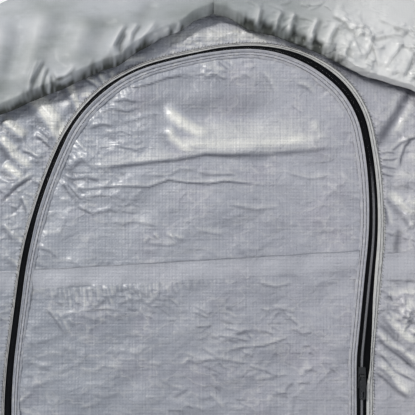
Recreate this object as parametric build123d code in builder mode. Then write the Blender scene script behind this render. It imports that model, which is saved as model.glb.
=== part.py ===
from build123d import *
import os
from math import cos, radians, sin, tan

# Gable end wall of a small polytunnel greenhouse with an arched zip door.
# Millimetres. +Z is up, the wall faces -Y and +X is to the right as seen from outside.
# The origin is on the ground, at the middle of the base rail's flat underside.

# Overall form of the end frame, to the centrelines of its tubes
wall_width = 2000.0
ridge_height = 2000.0
roof_pitch = 24.0

# Steel tubes of the frame
tube_d = 25.0
tube_wall = 1.2
post_d = 19.0
post_wall = 1.2
rail_side = 25.0
rail_wall = 1.5
rail_overhang = 16.0
seat_gap = 0.3

# Sleeved connectors and sockets
sleeve_wall = 1.5
sleeve_depth = 45.0
sleeve_core = 20.0
post_sleeve_depth = 32.0
foot_plate_t = 3.0
foot_plate_length = 62.0
foot_corner = 4.0
clamp_length = 40.0
anchor_r = 4.5
anchor_pitch = 500.0
anchor_count = 4

# Posts that stand either side of the doorway, measured from the zip's upright legs
left_post_gap = 31.8
right_post_gap = 48.7

# Woven sheet, drawn thicker than the real one so that it is a solid
sheet_t = 1.0
wall_bottom = 8.0
door_bottom = 20.0
hem_height = 25.0
seam_drop = 555.0
seam_height = 27.0
seam_tilt = 3.35

# Zip line: a chain of tangent arcs and straights, outwards from the crown,
# which hangs at a set drop below the ridge
crown_x = 54.0
crown_drop = 200.0
right_crown_radius = 204.0
right_crown_turn = 41.0
right_shoulder_radius = 143.0
right_shoulder_turn = 37.0
right_flank_radius = 634.0
right_lean = 5.7
right_lean_length = 145.0
right_ease_radius = 251.0
left_crown_radius = 328.0
left_crown_turn = 10.0
left_brow_radius = 900.0
left_brow_turn = 5.5
left_shoulder_radius = 232.0
left_shoulder_turn = 49.0
left_flank_radius = 710.0
left_lean = 7.2
left_lean_length = 100.0
left_ease_radius = 900.0

# Strips that follow the zip line, as distances from it
slit_half = 0.8
coil_reach = 4.0
coil_t = 2.4
tape_reach = 14.0
sheet_edge = 10.0
binding_from = 8.0
binding_reach = 20.0
seam_gap = 0.3
tape_bottom = 22.0
coil_bottom = 48.0
stop_height = 6.0

# Zip slider and its pull
slider_drop = 0.5
slider_length = 32.0
slider_half_width = 6.2
slider_gap = 0.4
slider_plate_t = 1.6
slider_taper = 1.6
blade_t = 0.9
blade_length = 6.0
lug_from = 2.6
lug_t = 1.2
lug_r = 2.4
pin_r = 0.8
pin_gap = 0.08
pin_out = 2.4
pin_rise = 3.0
pull_length = 36.0
pull_width = 9.0
pull_neck = 4.4
pull_t = 1.4
pull_eye_r = 1.9
pull_hole_r = 2.2
pull_hole_length = 6.0

# Gathered front edge of the roof cover
cover_front = 22.0
cover_back = 150.0
cover_drop = 144.0
cover_flare = 26.0
bead_d = 7.0
side_cover_bottom = 30.0

# Places worked out from the sizes above
half_width = wall_width / 2
crown_height = ridge_height - crown_drop
seam_middle = ridge_height - seam_drop + seam_height / 2
seam_reach = binding_reach + seam_gap
far_out = wall_width + ridge_height
tube_r = tube_d / 2
post_r = post_d / 2
sleeve_bore = tube_r + seat_gap
sleeve_r = sleeve_bore + sleeve_wall
post_sleeve_bore = post_r + seat_gap
post_sleeve_r = post_sleeve_bore + sleeve_wall
eave_height = ridge_height - half_width * tan(radians(roof_pitch))
rafter_length = half_width / cos(radians(roof_pitch))
sheet_back = sleeve_r + seat_gap
sheet_front = sheet_back + sheet_t
tape_front = sheet_front + sheet_t
coil_front = tape_front + coil_t
cover_rise = sleeve_r + seat_gap
foot_seat = rail_side + foot_plate_t
right_run = (cos(radians(roof_pitch)), 0, -sin(radians(roof_pitch)))
right_up_run = (-cos(radians(roof_pitch)), 0, sin(radians(roof_pitch)))

os.makedirs("parts", exist_ok=True)
finished = []


def finish(builder, name):
    """Labels a finished piece and writes it to its own file."""
    builder.part.label = name
    export_step(builder.part, f"parts/{name}.step")
    finished.append(name)


def finish_pair(builder, name):
    """Writes the right-hand piece and its mirror image on the left."""
    with BuildPart() as left:
        mirror(builder.part, about=Plane.YZ)
    finish(builder, f"right_{name}")
    finish(left, f"left_{name}")


def rafter_height(x):
    """Height of the rafter's centreline above a place across the wall."""
    return ridge_height - abs(x) * tan(radians(roof_pitch))


def draw_right_side(out, low):
    """The zip line from the crown down the right side, moved out from the door."""
    arc_1 = JernArc((crown_x, crown_height + out), (1, 0), right_crown_radius + out, -right_crown_turn)
    arc_2 = JernArc(arc_1 @ 1, arc_1 % 1, right_shoulder_radius + out, -right_shoulder_turn)
    flank_turn = 90 + right_lean - right_crown_turn - right_shoulder_turn
    arc_3 = JernArc(arc_2 @ 1, arc_2 % 1, right_flank_radius + out, -flank_turn)
    lean = PolarLine(arc_3 @ 1, right_lean_length, direction=arc_3 % 1)
    ease = JernArc(lean @ 1, lean % 1, right_ease_radius - out, right_lean)
    return Line(ease @ 1, Vector((ease @ 1).X, low))


def draw_left_side(out, low):
    """The zip line from the crown down the left side, moved out from the door."""
    arc_1 = JernArc((crown_x, crown_height + out), (-1, 0), left_crown_radius + out, left_crown_turn)
    arc_2 = JernArc(arc_1 @ 1, arc_1 % 1, left_brow_radius + out, left_brow_turn)
    arc_3 = JernArc(arc_2 @ 1, arc_2 % 1, left_shoulder_radius + out, left_shoulder_turn)
    flank_turn = 90 - left_lean - left_crown_turn - left_brow_turn - left_shoulder_turn
    arc_4 = JernArc(arc_3 @ 1, arc_3 % 1, left_flank_radius + out, flank_turn)
    lean = PolarLine(arc_4 @ 1, left_lean_length, direction=arc_4 % 1)
    ease = JernArc(lean @ 1, lean % 1, left_ease_radius + out, left_lean)
    return Line(ease @ 1, Vector((ease @ 1).X, low))


def draw_door(out, low):
    """The door's outline, moved out by a distance, closed along its foot."""
    right_leg = draw_right_side(out, low)
    left_leg = draw_left_side(out, low)
    Line(right_leg @ 1, left_leg @ 1)


def zip_strip(near, far, front, thickness, low):
    """A flat strip that follows the zip line between two distances from it."""
    with BuildPart() as strip:
        with BuildSketch(Plane.XZ.offset(front)):
            with BuildLine():
                outer_right = draw_right_side(far, low)
                outer_left = draw_left_side(far, low)
                inner_right = draw_right_side(near, low)
                inner_left = draw_left_side(near, low)
                Line(outer_right @ 1, inner_right @ 1)
                Line(outer_left @ 1, inner_left @ 1)
            make_face()
        extrude(amount=thickness)
    return strip


def tube(start, direction, length, radius, wall):
    """A round tube from a point along a direction."""
    with BuildPart() as piece:
        with BuildSketch(Plane(origin=start, z_dir=direction)):
            Circle(radius)
            Circle(radius - wall, mode=Mode.SUBTRACT)
        extrude(amount=length)
    return piece


def zip_leg(draw_side):
    """The upright leg at the foot of one side of the zip line, as (across, height)."""
    with BuildLine():
        leg = draw_side(0, coil_bottom)
    return leg


def connector(centre, directions):
    """A hub with a rear sleeve for a lengthwise tube and a sleeve in each other direction."""
    reach = sleeve_core + sleeve_depth
    hub_front = Vector(*centre) - Vector(0, sleeve_r, 0)
    with BuildPart() as hub:
        with BuildSketch(Plane(origin=hub_front, z_dir=(0, 1, 0))):
            Circle(sleeve_r)
        extrude(amount=sleeve_r + reach)
        for direction in directions:
            with BuildSketch(Plane(origin=centre, z_dir=direction)):
                Circle(sleeve_r)
            extrude(amount=reach)
        for direction in (*directions, (0, 1, 0)):
            seat = Vector(*centre) + Vector(*direction).normalized() * sleeve_core
            with BuildSketch(Plane(origin=seat, z_dir=direction)):
                Circle(sleeve_bore)
            extrude(amount=sleeve_depth, mode=Mode.SUBTRACT)
    return hub


# Base rail: a square tube with holes for ground anchors
rail_length = wall_width + 2 * rail_overhang
with BuildPart() as base_rail:
    with BuildSketch(Plane.YZ.offset(-rail_length / 2)):
        with Locations((0, rail_side / 2)):
            Rectangle(rail_side, rail_side)
            Rectangle(rail_side - 2 * rail_wall, rail_side - 2 * rail_wall, mode=Mode.SUBTRACT)
    extrude(amount=rail_length)
    long_edges = base_rail.edges().filter_by(Axis.X).sort_by_distance((0, 0, rail_side / 2))[4:]
    fillet(long_edges, radius=rail_wall)
    with BuildSketch(Plane.XY):
        with GridLocations(anchor_pitch, 1, anchor_count, 1):
            Circle(anchor_r)
    extrude(amount=rail_side, mode=Mode.SUBTRACT)
finish(base_rail, "base_rail")


def foot_socket(x, plate_shift, bore, outside, depth):
    """A tube's socket: a sleeve on a plate that is screwed to the rail."""
    with BuildPart() as foot:
        with BuildSketch(Plane.XY.offset(rail_side)):
            with Locations((x + plate_shift, 0)):
                plate = Rectangle(foot_plate_length, rail_side)
                chamfer(plate.vertices(), length=foot_corner)
        extrude(amount=foot_plate_t)
        with BuildSketch(Plane.XY.offset(rail_side)):
            with Locations((x, 0)):
                Circle(outside)
        extrude(amount=foot_plate_t + depth)
        with BuildSketch(Plane.XY.offset(foot_seat)):
            with Locations((x, 0)):
                Circle(bore)
        extrude(amount=depth, mode=Mode.SUBTRACT)
    return foot


def post_clamp(x):
    """A saddle round the rafter with a sleeve below it for a door post."""
    side = 1 if x > 0 else -1
    run = (cos(radians(roof_pitch)), 0, -side * sin(radians(roof_pitch)))
    centre = (x, 0, rafter_height(x))
    start = Vector(*centre) - Vector(*run) * (clamp_length / 2)
    with BuildPart() as clamp:
        with BuildSketch(Plane(origin=start, z_dir=run)):
            Circle(sleeve_r)
        extrude(amount=clamp_length)
        with BuildSketch(Plane(origin=centre, z_dir=(0, 0, -1))):
            Circle(post_sleeve_r)
        extrude(amount=sleeve_core + post_sleeve_depth)
        with BuildSketch(Plane(origin=start, z_dir=run)):
            Circle(sleeve_bore)
        extrude(amount=clamp_length, mode=Mode.SUBTRACT)
        with BuildSketch(Plane.XY.offset(rafter_height(x) - sleeve_core)):
            with Locations((x, 0)):
                Circle(post_sleeve_bore)
        extrude(amount=-post_sleeve_depth, mode=Mode.SUBTRACT)
    return clamp


right_leg = zip_leg(draw_right_side)
left_leg = zip_leg(draw_left_side)
right_leg_x = (right_leg @ 0).X
left_leg_x = (left_leg @ 0).X
left_post_x = left_leg_x - left_post_gap
right_post_x = right_leg_x + right_post_gap

# Feet of the uprights and of the door posts
corner_plate_shift = rail_overhang - foot_plate_length / 2
corner_foot = foot_socket(half_width, corner_plate_shift, sleeve_bore, sleeve_r, sleeve_depth)
finish_pair(corner_foot, "foot_socket")
finish(foot_socket(left_post_x, 0, post_sleeve_bore, post_sleeve_r, post_sleeve_depth), "left_post_foot")
finish(foot_socket(right_post_x, 0, post_sleeve_bore, post_sleeve_r, post_sleeve_depth), "right_post_foot")

# Uprights and rafters, which end a small gap short of the cores of their connectors
upright_length = eave_height - sleeve_core - foot_seat - 2 * seat_gap
upright = tube((half_width, 0, foot_seat + seat_gap), (0, 0, 1), upright_length, tube_r, tube_wall)
finish_pair(upright, "upright")
rafter_start = Vector(0, 0, ridge_height) + Vector(*right_run) * (sleeve_core + seat_gap)
rafter = tube(rafter_start, right_run, rafter_length - 2 * (sleeve_core + seat_gap), tube_r, tube_wall)
finish_pair(rafter, "rafter")

# Connectors at the ridge and the eaves, each with a rear sleeve for a lengthwise tube
left_run = (-right_run[0], 0, right_run[2])
ridge_connector = connector((0, 0, ridge_height), [right_run, left_run])
finish(ridge_connector, "ridge_connector")
eave_connector = connector((half_width, 0, eave_height), [right_up_run, (0, 0, -1)])
finish_pair(eave_connector, "eave_connector")

# Door posts between the rail and the rafters, held by saddle clamps
for post_name, post_x in (("left_post", left_post_x), ("right_post", right_post_x)):
    post_length = rafter_height(post_x) - sleeve_core - foot_seat - 2 * seat_gap
    post = tube((post_x, 0, foot_seat + seat_gap), (0, 0, 1), post_length, post_r, post_wall)
    finish(post, f"{post_name}_tube")
    finish(post_clamp(post_x), f"{post_name}_clamp")


def draw_wall():
    """The gable wall's outline, up to just under the roof cover."""
    edge = half_width + sleeve_r
    peak = ridge_height + (cover_rise - seat_gap) / cos(radians(roof_pitch))
    eave = peak - edge * tan(radians(roof_pitch))
    Polyline((-edge, wall_bottom), (edge, wall_bottom), (edge, eave), (0, peak), (-edge, eave), close=True)


def keep_box(low_x, high_x, low_z, high_z, mode=Mode.INTERSECT):
    """Keeps only what lies between two places across and two heights."""
    with Locations(((low_x + high_x) / 2, (low_z + high_z) / 2)):
        Rectangle(high_x - low_x, high_z - low_z, mode=mode)


def draw_band(low_x, high_x, low, high):
    """A band across the wall between two heights above the middle of the seam, which runs uphill."""
    left_z = seam_middle + low_x * tan(radians(seam_tilt))
    right_z = seam_middle + high_x * tan(radians(seam_tilt))
    lower = ((low_x, left_z + low), (high_x, right_z + low))
    upper = ((high_x, right_z + high), (low_x, left_z + high))
    Polyline(*lower, *upper, close=True)


# Woven wall: a gable panel over the doorway and a panel either side of it,
# which meet under a lapped seam
for panel_name, low_x, high_x, low, high in (
    ("gable_panel", -far_out, far_out, 0, far_out),
    ("left_wall_panel", -far_out, crown_x, -far_out, 0),
    ("right_wall_panel", crown_x, far_out, -far_out, 0),
):
    with BuildPart() as panel:
        with BuildSketch(Plane.XZ.offset(sheet_back)):
            with BuildLine():
                draw_wall()
            make_face()
            with BuildLine():
                draw_door(sheet_edge, -far_out)
            make_face(mode=Mode.SUBTRACT)
            with BuildLine():
                draw_band(low_x, high_x, low, high)
            make_face(mode=Mode.INTERSECT)
        extrude(amount=sheet_t)
    finish(panel, panel_name)

with BuildPart() as door_leaf:
    with BuildSketch(Plane.XZ.offset(sheet_back)):
        with BuildLine():
            draw_door(-sheet_edge, door_bottom)
        make_face()
    extrude(amount=sheet_t)
finish(door_leaf, "door_leaf")

with BuildPart() as door_hem:
    with BuildSketch(Plane.XZ.offset(sheet_front)):
        with BuildLine():
            draw_door(-seam_reach, door_bottom)
        make_face()
        keep_box(-far_out, far_out, door_bottom, door_bottom + hem_height)
    extrude(amount=sheet_t)
finish(door_hem, "door_hem")

# Lapped seam across the door and the wall, outside the zip's bindings
with BuildPart() as door_seam:
    with BuildSketch(Plane.XZ.offset(sheet_front)):
        with BuildLine():
            draw_door(-seam_reach, door_bottom)
        make_face()
        with BuildLine():
            draw_band(-far_out, far_out, -seam_height / 2, seam_height / 2)
        make_face(mode=Mode.INTERSECT)
    extrude(amount=sheet_t)
finish(door_seam, "door_seam")

for seam_name, low_x, high_x in (
    ("left_wall_seam", -far_out, crown_x),
    ("right_wall_seam", crown_x, far_out),
):
    with BuildPart() as wall_seam:
        with BuildSketch(Plane.XZ.offset(sheet_front)):
            with BuildLine():
                draw_wall()
            make_face()
            with BuildLine():
                draw_door(seam_reach, -far_out)
            make_face(mode=Mode.SUBTRACT)
            with BuildLine():
                draw_band(low_x, high_x, -seam_height / 2, seam_height / 2)
            make_face(mode=Mode.INTERSECT)
        extrude(amount=sheet_t)
    finish(wall_seam, seam_name)

# Zip: tapes on the sheet's edges, coils on the tapes, bindings over their outer edges
finish(zip_strip(slit_half, tape_reach, sheet_front, sheet_t, tape_bottom), "wall_zip_tape")
finish(zip_strip(-tape_reach, -slit_half, sheet_front, sheet_t, tape_bottom), "door_zip_tape")
finish(zip_strip(slit_half, coil_reach, tape_front, coil_t, coil_bottom), "wall_zip_coil")
finish(zip_strip(-coil_reach, -slit_half, tape_front, coil_t, coil_bottom), "door_zip_coil")
finish(zip_strip(binding_from, binding_reach, tape_front, sheet_t, tape_bottom), "wall_binding")
finish(zip_strip(-binding_reach, -binding_from, tape_front, sheet_t, tape_bottom), "door_binding")


# End stops under the coils
for stop_name, stop_x in (("left_zip_stop", left_leg_x), ("right_zip_stop", right_leg_x)):
    with BuildPart() as zip_stop:
        with BuildSketch(Plane.XZ.offset(tape_front)):
            with Locations((stop_x, coil_bottom - stop_height / 2)):
                RectangleRounded(2 * coil_reach + sheet_t, stop_height, sheet_t)
        extrude(amount=coil_t)
    finish(zip_stop, stop_name)

# Slider: two plates joined by a blade, with flanges that fold in round the coils
slider_top = (right_leg @ 0).Y - slider_drop
slider_height = slider_top - slider_length / 2
plate_back = coil_front + slider_gap
plate_front = plate_back + slider_plate_t
under_front = sheet_back + sheet_t - slider_gap
under_back = under_front - slider_plate_t
channel_half = coil_reach + slider_gap
pin_forward = plate_front + pin_out
pin_height = slider_height + pin_rise
with BuildPart() as zip_slider:
    with BuildSketch(Plane.XZ.offset(under_back)):
        with Locations((right_leg_x, slider_height)):
            Trapezoid(2 * slider_half_width, slider_length, 90 - slider_taper)
    extrude(amount=slider_plate_t)
    with BuildSketch(Plane.XZ.offset(tape_front + slider_gap)):
        with Locations((right_leg_x, slider_height)):
            Trapezoid(2 * slider_half_width, slider_length, 90 - slider_taper)
            Rectangle(2 * channel_half, slider_length, mode=Mode.SUBTRACT)
    extrude(amount=plate_back - tape_front - slider_gap)
    with BuildSketch(Plane.XZ.offset(plate_back)):
        with Locations((right_leg_x, slider_height)):
            Trapezoid(2 * slider_half_width, slider_length, 90 - slider_taper)
    extrude(amount=slider_plate_t)
    with BuildSketch(Plane.XZ.offset(under_front)):
        with Locations((right_leg_x, slider_top - blade_length / 2)):
            Rectangle(blade_t, blade_length)
    extrude(amount=plate_back - under_front)
    for ear in (-1, 1):
        inner_x = right_leg_x + ear * lug_from
        with BuildSketch(Plane.YZ.offset(inner_x)):
            with BuildLine():
                foot_low = Line((-plate_front, pin_height - lug_r), (-pin_forward, pin_height - lug_r))
                nose = TangentArc(foot_low @ 1, (-pin_forward, pin_height + lug_r), tangent=(-1, 0))
                foot_high = Line(nose @ 1, (-plate_front, pin_height + lug_r))
                Line(foot_high @ 1, foot_low @ 0)
            make_face()
        extrude(amount=ear * lug_t)
    with BuildSketch(Plane.YZ.offset(right_leg_x - lug_from)):
        with Locations((-pin_forward, pin_height)):
            Circle(pin_r)
    extrude(amount=2 * lug_from)
finish(zip_slider, "zip_slider")

# Pull: an eye round the slider's pin, a neck and a flat tab with a slot
pull_low = pin_height - pull_length
tab_high = pin_height - pull_width
eye_bore = pin_r + pin_gap
with BuildPart() as zip_pull:
    with BuildSketch(Plane.XZ.offset(pin_forward - pull_t / 2)):
        with BuildLine():
            Polyline(
                (right_leg_x - pull_neck / 2, pin_height - pull_eye_r / 2),
                (right_leg_x + pull_neck / 2, pin_height - pull_eye_r / 2),
                (right_leg_x + pull_neck / 2, tab_high + pull_neck),
                (right_leg_x + pull_width / 2, tab_high),
                (right_leg_x + pull_width / 2, pull_low),
                (right_leg_x - pull_width / 2, pull_low),
                (right_leg_x - pull_width / 2, tab_high),
                (right_leg_x - pull_neck / 2, tab_high + pull_neck),
                close=True,
            )
        make_face()
    extrude(amount=pull_t)
    low_corners = zip_pull.edges().filter_by(Axis.Y).group_by(Axis.Z)[0]
    fillet(low_corners, radius=pull_width / 3)
    with BuildSketch(Plane.XZ.offset(pin_forward - pull_t / 2)):
        with Locations((right_leg_x, pull_low + pull_width / 2 + pull_hole_length / 2)):
            SlotCenterToCenter(pull_hole_length, 2 * pull_hole_r, rotation=90)
    extrude(amount=pull_t, mode=Mode.SUBTRACT)
    with BuildSketch(Plane.YZ.offset(right_leg_x - pull_neck / 2)):
        with Locations((-pin_forward, pin_height)):
            Circle(pull_eye_r)
    extrude(amount=pull_neck)
    with BuildSketch(Plane.YZ.offset(right_leg_x - pull_neck / 2)):
        with Locations((-pin_forward, pin_height)):
            Circle(eye_bore)
    extrude(amount=pull_neck, mode=Mode.SUBTRACT)
finish(zip_pull, "zip_pull")

# Roof cover: a return over the rafter and a flared front edge with a corded hem,
# drawn square to the slope and cut at the ridge and the eave
slope_plane = Plane(origin=(0, 0, ridge_height), x_dir=(0, -1, 0), z_dir=right_run)
overrun = cover_drop
cover_edge = half_width + cover_rise
bead_middle = (cover_front + cover_flare, cover_drop - cover_rise + bead_d / 2)
with BuildPart() as roof_cover:
    with BuildSketch(slope_plane.offset(-overrun)):
        with BuildLine():
            over = Line((-cover_back, -cover_rise - sheet_t), (cover_front, -cover_rise - sheet_t))
            front = Line(over @ 1, (cover_front + cover_flare, cover_drop - cover_rise))
            foot = Line(front @ 1, (cover_front + cover_flare - sheet_t, cover_drop - cover_rise))
            inner = Line(foot @ 1, (cover_front - sheet_t, -cover_rise))
            under = Line(inner @ 1, (-cover_back, -cover_rise))
            Line(under @ 1, over @ 0)
        make_face()
    extrude(amount=rafter_length + 2 * overrun)
    split(bisect_by=Plane.YZ, keep=Keep.TOP)
    split(bisect_by=Plane.YZ.offset(cover_edge), keep=Keep.BOTTOM)
finish_pair(roof_cover, "roof_cover")

with BuildPart() as cover_bead:
    with BuildSketch(slope_plane.offset(-overrun)):
        with Locations(bead_middle):
            Circle(bead_d / 2)
    extrude(amount=rafter_length + 2 * overrun)
    split(bisect_by=Plane.YZ, keep=Keep.TOP)
    split(bisect_by=Plane.YZ.offset(cover_edge), keep=Keep.BOTTOM)
finish_pair(cover_bead, "cover_bead")

# Side cover: a flat strip that runs back along the side wall, under the roof cover
side_top = eave_height - (cover_rise + seat_gap) * tan(radians(roof_pitch))
with BuildPart() as side_cover:
    with BuildSketch(Plane.YZ.offset(half_width + sleeve_r + seat_gap)):
        with Locations(((cover_back - sheet_front) / 2, (side_cover_bottom + side_top) / 2)):
            Rectangle(cover_back + sheet_front, side_top - side_cover_bottom)
    extrude(amount=sheet_t)
finish_pair(side_cover, "side_cover")

print(len(finished), "pieces written")
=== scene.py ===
import math

import bpy
import numpy as np
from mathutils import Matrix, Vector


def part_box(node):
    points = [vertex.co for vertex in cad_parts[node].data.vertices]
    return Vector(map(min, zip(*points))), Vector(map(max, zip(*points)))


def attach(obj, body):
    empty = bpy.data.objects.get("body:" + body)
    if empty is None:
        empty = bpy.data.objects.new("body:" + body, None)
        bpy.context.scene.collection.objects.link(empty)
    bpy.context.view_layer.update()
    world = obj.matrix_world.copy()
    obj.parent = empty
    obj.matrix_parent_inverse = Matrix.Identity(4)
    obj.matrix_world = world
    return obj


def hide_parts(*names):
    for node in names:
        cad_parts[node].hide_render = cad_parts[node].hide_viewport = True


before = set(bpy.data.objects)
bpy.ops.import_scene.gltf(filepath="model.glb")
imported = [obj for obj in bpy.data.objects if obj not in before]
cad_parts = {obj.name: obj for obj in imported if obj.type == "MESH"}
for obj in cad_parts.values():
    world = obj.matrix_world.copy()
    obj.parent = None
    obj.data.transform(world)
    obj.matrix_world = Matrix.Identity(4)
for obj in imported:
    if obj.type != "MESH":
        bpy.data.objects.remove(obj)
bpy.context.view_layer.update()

draw = np.random.default_rng(41)

# Main lines of the wall, in metres
wallLines = {
    "halfWidth": 1.0156,
    "ridge": 2.0,              # axis of the rafters at the middle
    "pitch": 24.0,
    "cornerTube": 1.0,         # axis of the uprights
    "rail": 0.0125,            # and of the rail
    "sheet": 0.0151,           # middle of the sheet, forward of the frame's axis
    "sewn": 0.0156,            # its face, which the zip and the bindings lie on
    "sheetOver": 0.0146,       # how far the sheet reaches over the rafters' axis
    "bottom": 0.008,
    "doorBottom": 0.020,
    "edge": 0.005,             # the cloth stops this far from the zip's line
    "seam": 1.4585,            # middle of the lapped seam, at the middle of the wall
    "seamHalf": 0.0150,
    "seamTilt": 3.35,
    "fineFrom": -0.345,        # the creases that show lie between these
    "fineTo": 0.325,
}
slopeTan = math.tan(math.radians(wallLines["pitch"]))
postBoxes = [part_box(side + "_post_tube") for side in ("left", "right")]
posts = [float(box[0][0] + box[1][0]) / 2 for box in postBoxes]

# The zip's line: runs of (radius or length, turn in degrees) from the crown down each side
zipLine = {
    "crown": (0.054, 1.800),
    "right": [(0.204, 41), (0.143, 37), (0.634, 17.7), (0.145, 0), (0.251, -5.7), (3.0, 0)],
    "left": [(0.328, 10), (0.900, 5.5), (0.232, 49), (0.710, 18.3), (0.100, 0), (0.900, 7.2), (3.0, 0)],
    "tapeBottom": 0.022,
    "coilBottom": 0.048,
}


def layHalf(runs):
    laid = []
    u, v, heading, gone = 0.0, zipLine["crown"][1], 0.0, 0.0
    for size, turn in runs:
        bend = math.radians(turn)
        length = size * abs(bend) if turn else size
        k = math.copysign(1 / size, turn) if turn else 0.0
        laid.append((u, v, heading, gone, length, k))
        u, v = (float(c) for c in alongRun(laid[-1], np.array(length))[:2])
        heading -= bend
        gone += length
    return laid


def alongRun(run, t):
    u, v, heading, gone, length, k = run
    here = heading - k * t
    if k:
        return u + (math.sin(heading) - np.sin(here)) / k, v + (np.cos(here) - math.cos(heading)) / k, here
    return u + np.cos(here) * t, v + np.sin(here) * t, here


halves = {1: layHalf(zipLine["right"]), -1: layHalf(zipLine["left"])}


def zipAt(s, out=0.0):
    # x and z of points at length s along the zip (right of the crown is positive) and out from it
    s, out = np.broadcast_arrays(np.asarray(s, float), np.asarray(out, float))
    x, z = np.zeros(s.shape), np.zeros(s.shape)
    for side, runs in halves.items():
        for run in runs:
            here = (np.where(s >= 0, 1, -1) == side) & (abs(s) >= run[3]) & (abs(s) <= run[3] + run[4])
            u, v, heading = alongRun(run, abs(s) - run[3])
            x = np.where(here, zipLine["crown"][0] + side * (u - np.sin(heading) * out), x)
            z = np.where(here, v + np.cos(heading) * out, z)
    return x, z


def toZip(x, z):
    # nearest length along the zip, and the distance from it, positive outside the door
    best, bestS, bestD = np.full(x.shape, 1e9), np.zeros(x.shape), np.zeros(x.shape)
    for side, runs in halves.items():
        u, v = side * (x - zipLine["crown"][0]), z
        for run in runs:
            u0, v0, heading, gone, length, k = run
            if k:
                cu, cv = u0 + math.sin(heading) / k, v0 - math.cos(heading) / k
                first, middle = math.atan2(v0 - cv, u0 - cu), k * length / 2
                turned = first - np.arctan2(v - cv, u - cu) - middle
                turned = (turned + math.pi) % (2 * math.pi) - math.pi + middle
                t = np.clip(turned / k, 0, length)
            else:
                t = np.clip((u - u0) * math.cos(heading) + (v - v0) * math.sin(heading), 0, length)
            pu, pv, way = alongRun(run, t)
            gap = np.hypot(u - pu, v - pv)
            over = (u - pu) * -np.sin(way) + (v - pv) * np.cos(way)
            near = gap < best
            best = np.where(near, gap, best)
            bestS = np.where(near, side * (gone + t), bestS)
            bestD = np.where(near, np.where(over >= 0, gap, -gap), bestD)
    return bestS, bestD


def zipEnd(side, z):
    run = halves[side][-1]
    return side * (run[3] + run[1] - z)


# How far the bindings' near and far edges stand from the zip's line, at lengths along it, in metres.
# The wall's and the door's near edges run alike down the left leg and over the crown.
nearLeft = [(-2.2, 0.0075), (-0.95, 0.0070), (-0.63, 0.0048), (-0.50, 0.0046), (-0.46, 0.0036), (-0.34, 0.0034),
            (-0.31, 0.0025), (-0.235, 0.0028), (-0.20, 0.0018), (-0.12, 0.0021)]
nearCrown = [(-0.047, 0.0024), (0.0, 0.0024), (0.03, 0.0030), (0.076, 0.0046), (0.137, 0.0057), (0.20, 0.0059),
             (0.26, 0.0057), (0.35, 0.0066)]
zipLook = {
    "wallNear": [*nearLeft, (-0.08, 0.0018), *nearCrown, (0.448, 0.0073), (0.499, 0.0088), (0.552, 0.0122),
                 (0.592, 0.0138), (0.609, 0.0128), (0.635, 0.0078), (2.2, 0.0075)],
    "doorNear": [*nearLeft, (-0.08, 0.0016), *nearCrown, (0.448, 0.0074), (2.2, 0.0074)],
    "wallFar": [(-2.2, 0.0180), (-0.90, 0.0130), (-0.63, 0.0098), (-0.46, 0.0092), (-0.25, 0.0090), (-0.10, 0.0088),
                (0.0, 0.0088), (0.06, 0.0106), (0.14, 0.0150), (0.24, 0.0155), (0.45, 0.0195), (2.2, 0.0200)],
    "doorFar": [(-2.2, 0.0190), (-0.90, 0.0180), (-0.63, 0.0168), (-0.46, 0.0172), (-0.25, 0.0165), (-0.10, 0.0145),
                (0.0, 0.0150), (0.14, 0.0198), (2.2, 0.0200)],
    "farthest": 0.0201,
    "tape": 0.0140,            # width of a zip tape
    "tapeShort": 0.0015,       # it stops at least this far short of the binding's edge
    # half sizes, along the zip and across it
    "tooth": (0.00060, 0.0020),
    "toothHead": (0.00045, 0.0009),
    "stitch": (0.00138, 0.00036),
    "edgeStitch": (0.00030, 0.0014),
    "toothDeep": 0.0021,
    "toothLift": 0.0011,       # of its foot, over the sheet's face
    "headLift": 0.0031,
    "threadDeep": 0.0004,
    "toothPitch": 0.0016,
    "stitchPitch": 0.0029,
    "edgeStitchPitch": 0.0052,
    # rows of stitches, as shares of the way across each binding
    "stitchRows": {"wall": (0.40, 0.80), "door": (0.34, 0.67)},
}


def readAt(pairs, at):
    return np.interp(at, *zip(*pairs))


def zipSpan(key, s):
    return readAt(zipLook[key], s)


def ease(t):
    t = np.clip(t, 0, 1)
    return t * t * (3 - 2 * t)


def makeWaves(count, shortest, longest, flatten=1.0):
    # random plane waves; flatten below 1 lays their crests level
    size = np.exp(draw.uniform(math.log(shortest), math.log(longest), count))
    way = draw.uniform(0, 2 * math.pi, count)
    return np.stack([2 * math.pi / size * np.cos(way) * flatten, 2 * math.pi / size * np.sin(way),
                     draw.uniform(0, 2 * math.pi, count)], 1)


def waveSum(waves, x, z):
    total = np.zeros(x.shape)
    for kx, kz, phase in waves:
        total += np.cos(kx * x + kz * z + phase)
    return total / math.sqrt(len(waves) / 2)


# A fold is a line of points with its height and its widths above and below, all in millimetres.
# shine: crest whitening and painted highlight; line: painted shade in the crease beside it; soft: how round it is.
# A height below nothing is a valley.
def fold(points, high, above, below, shine=0.25, line=0.35, soft=0.0):
    return np.array(points) * 0.001, high * 0.001, above * 0.001, below * 0.001, shine, line, soft


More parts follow.
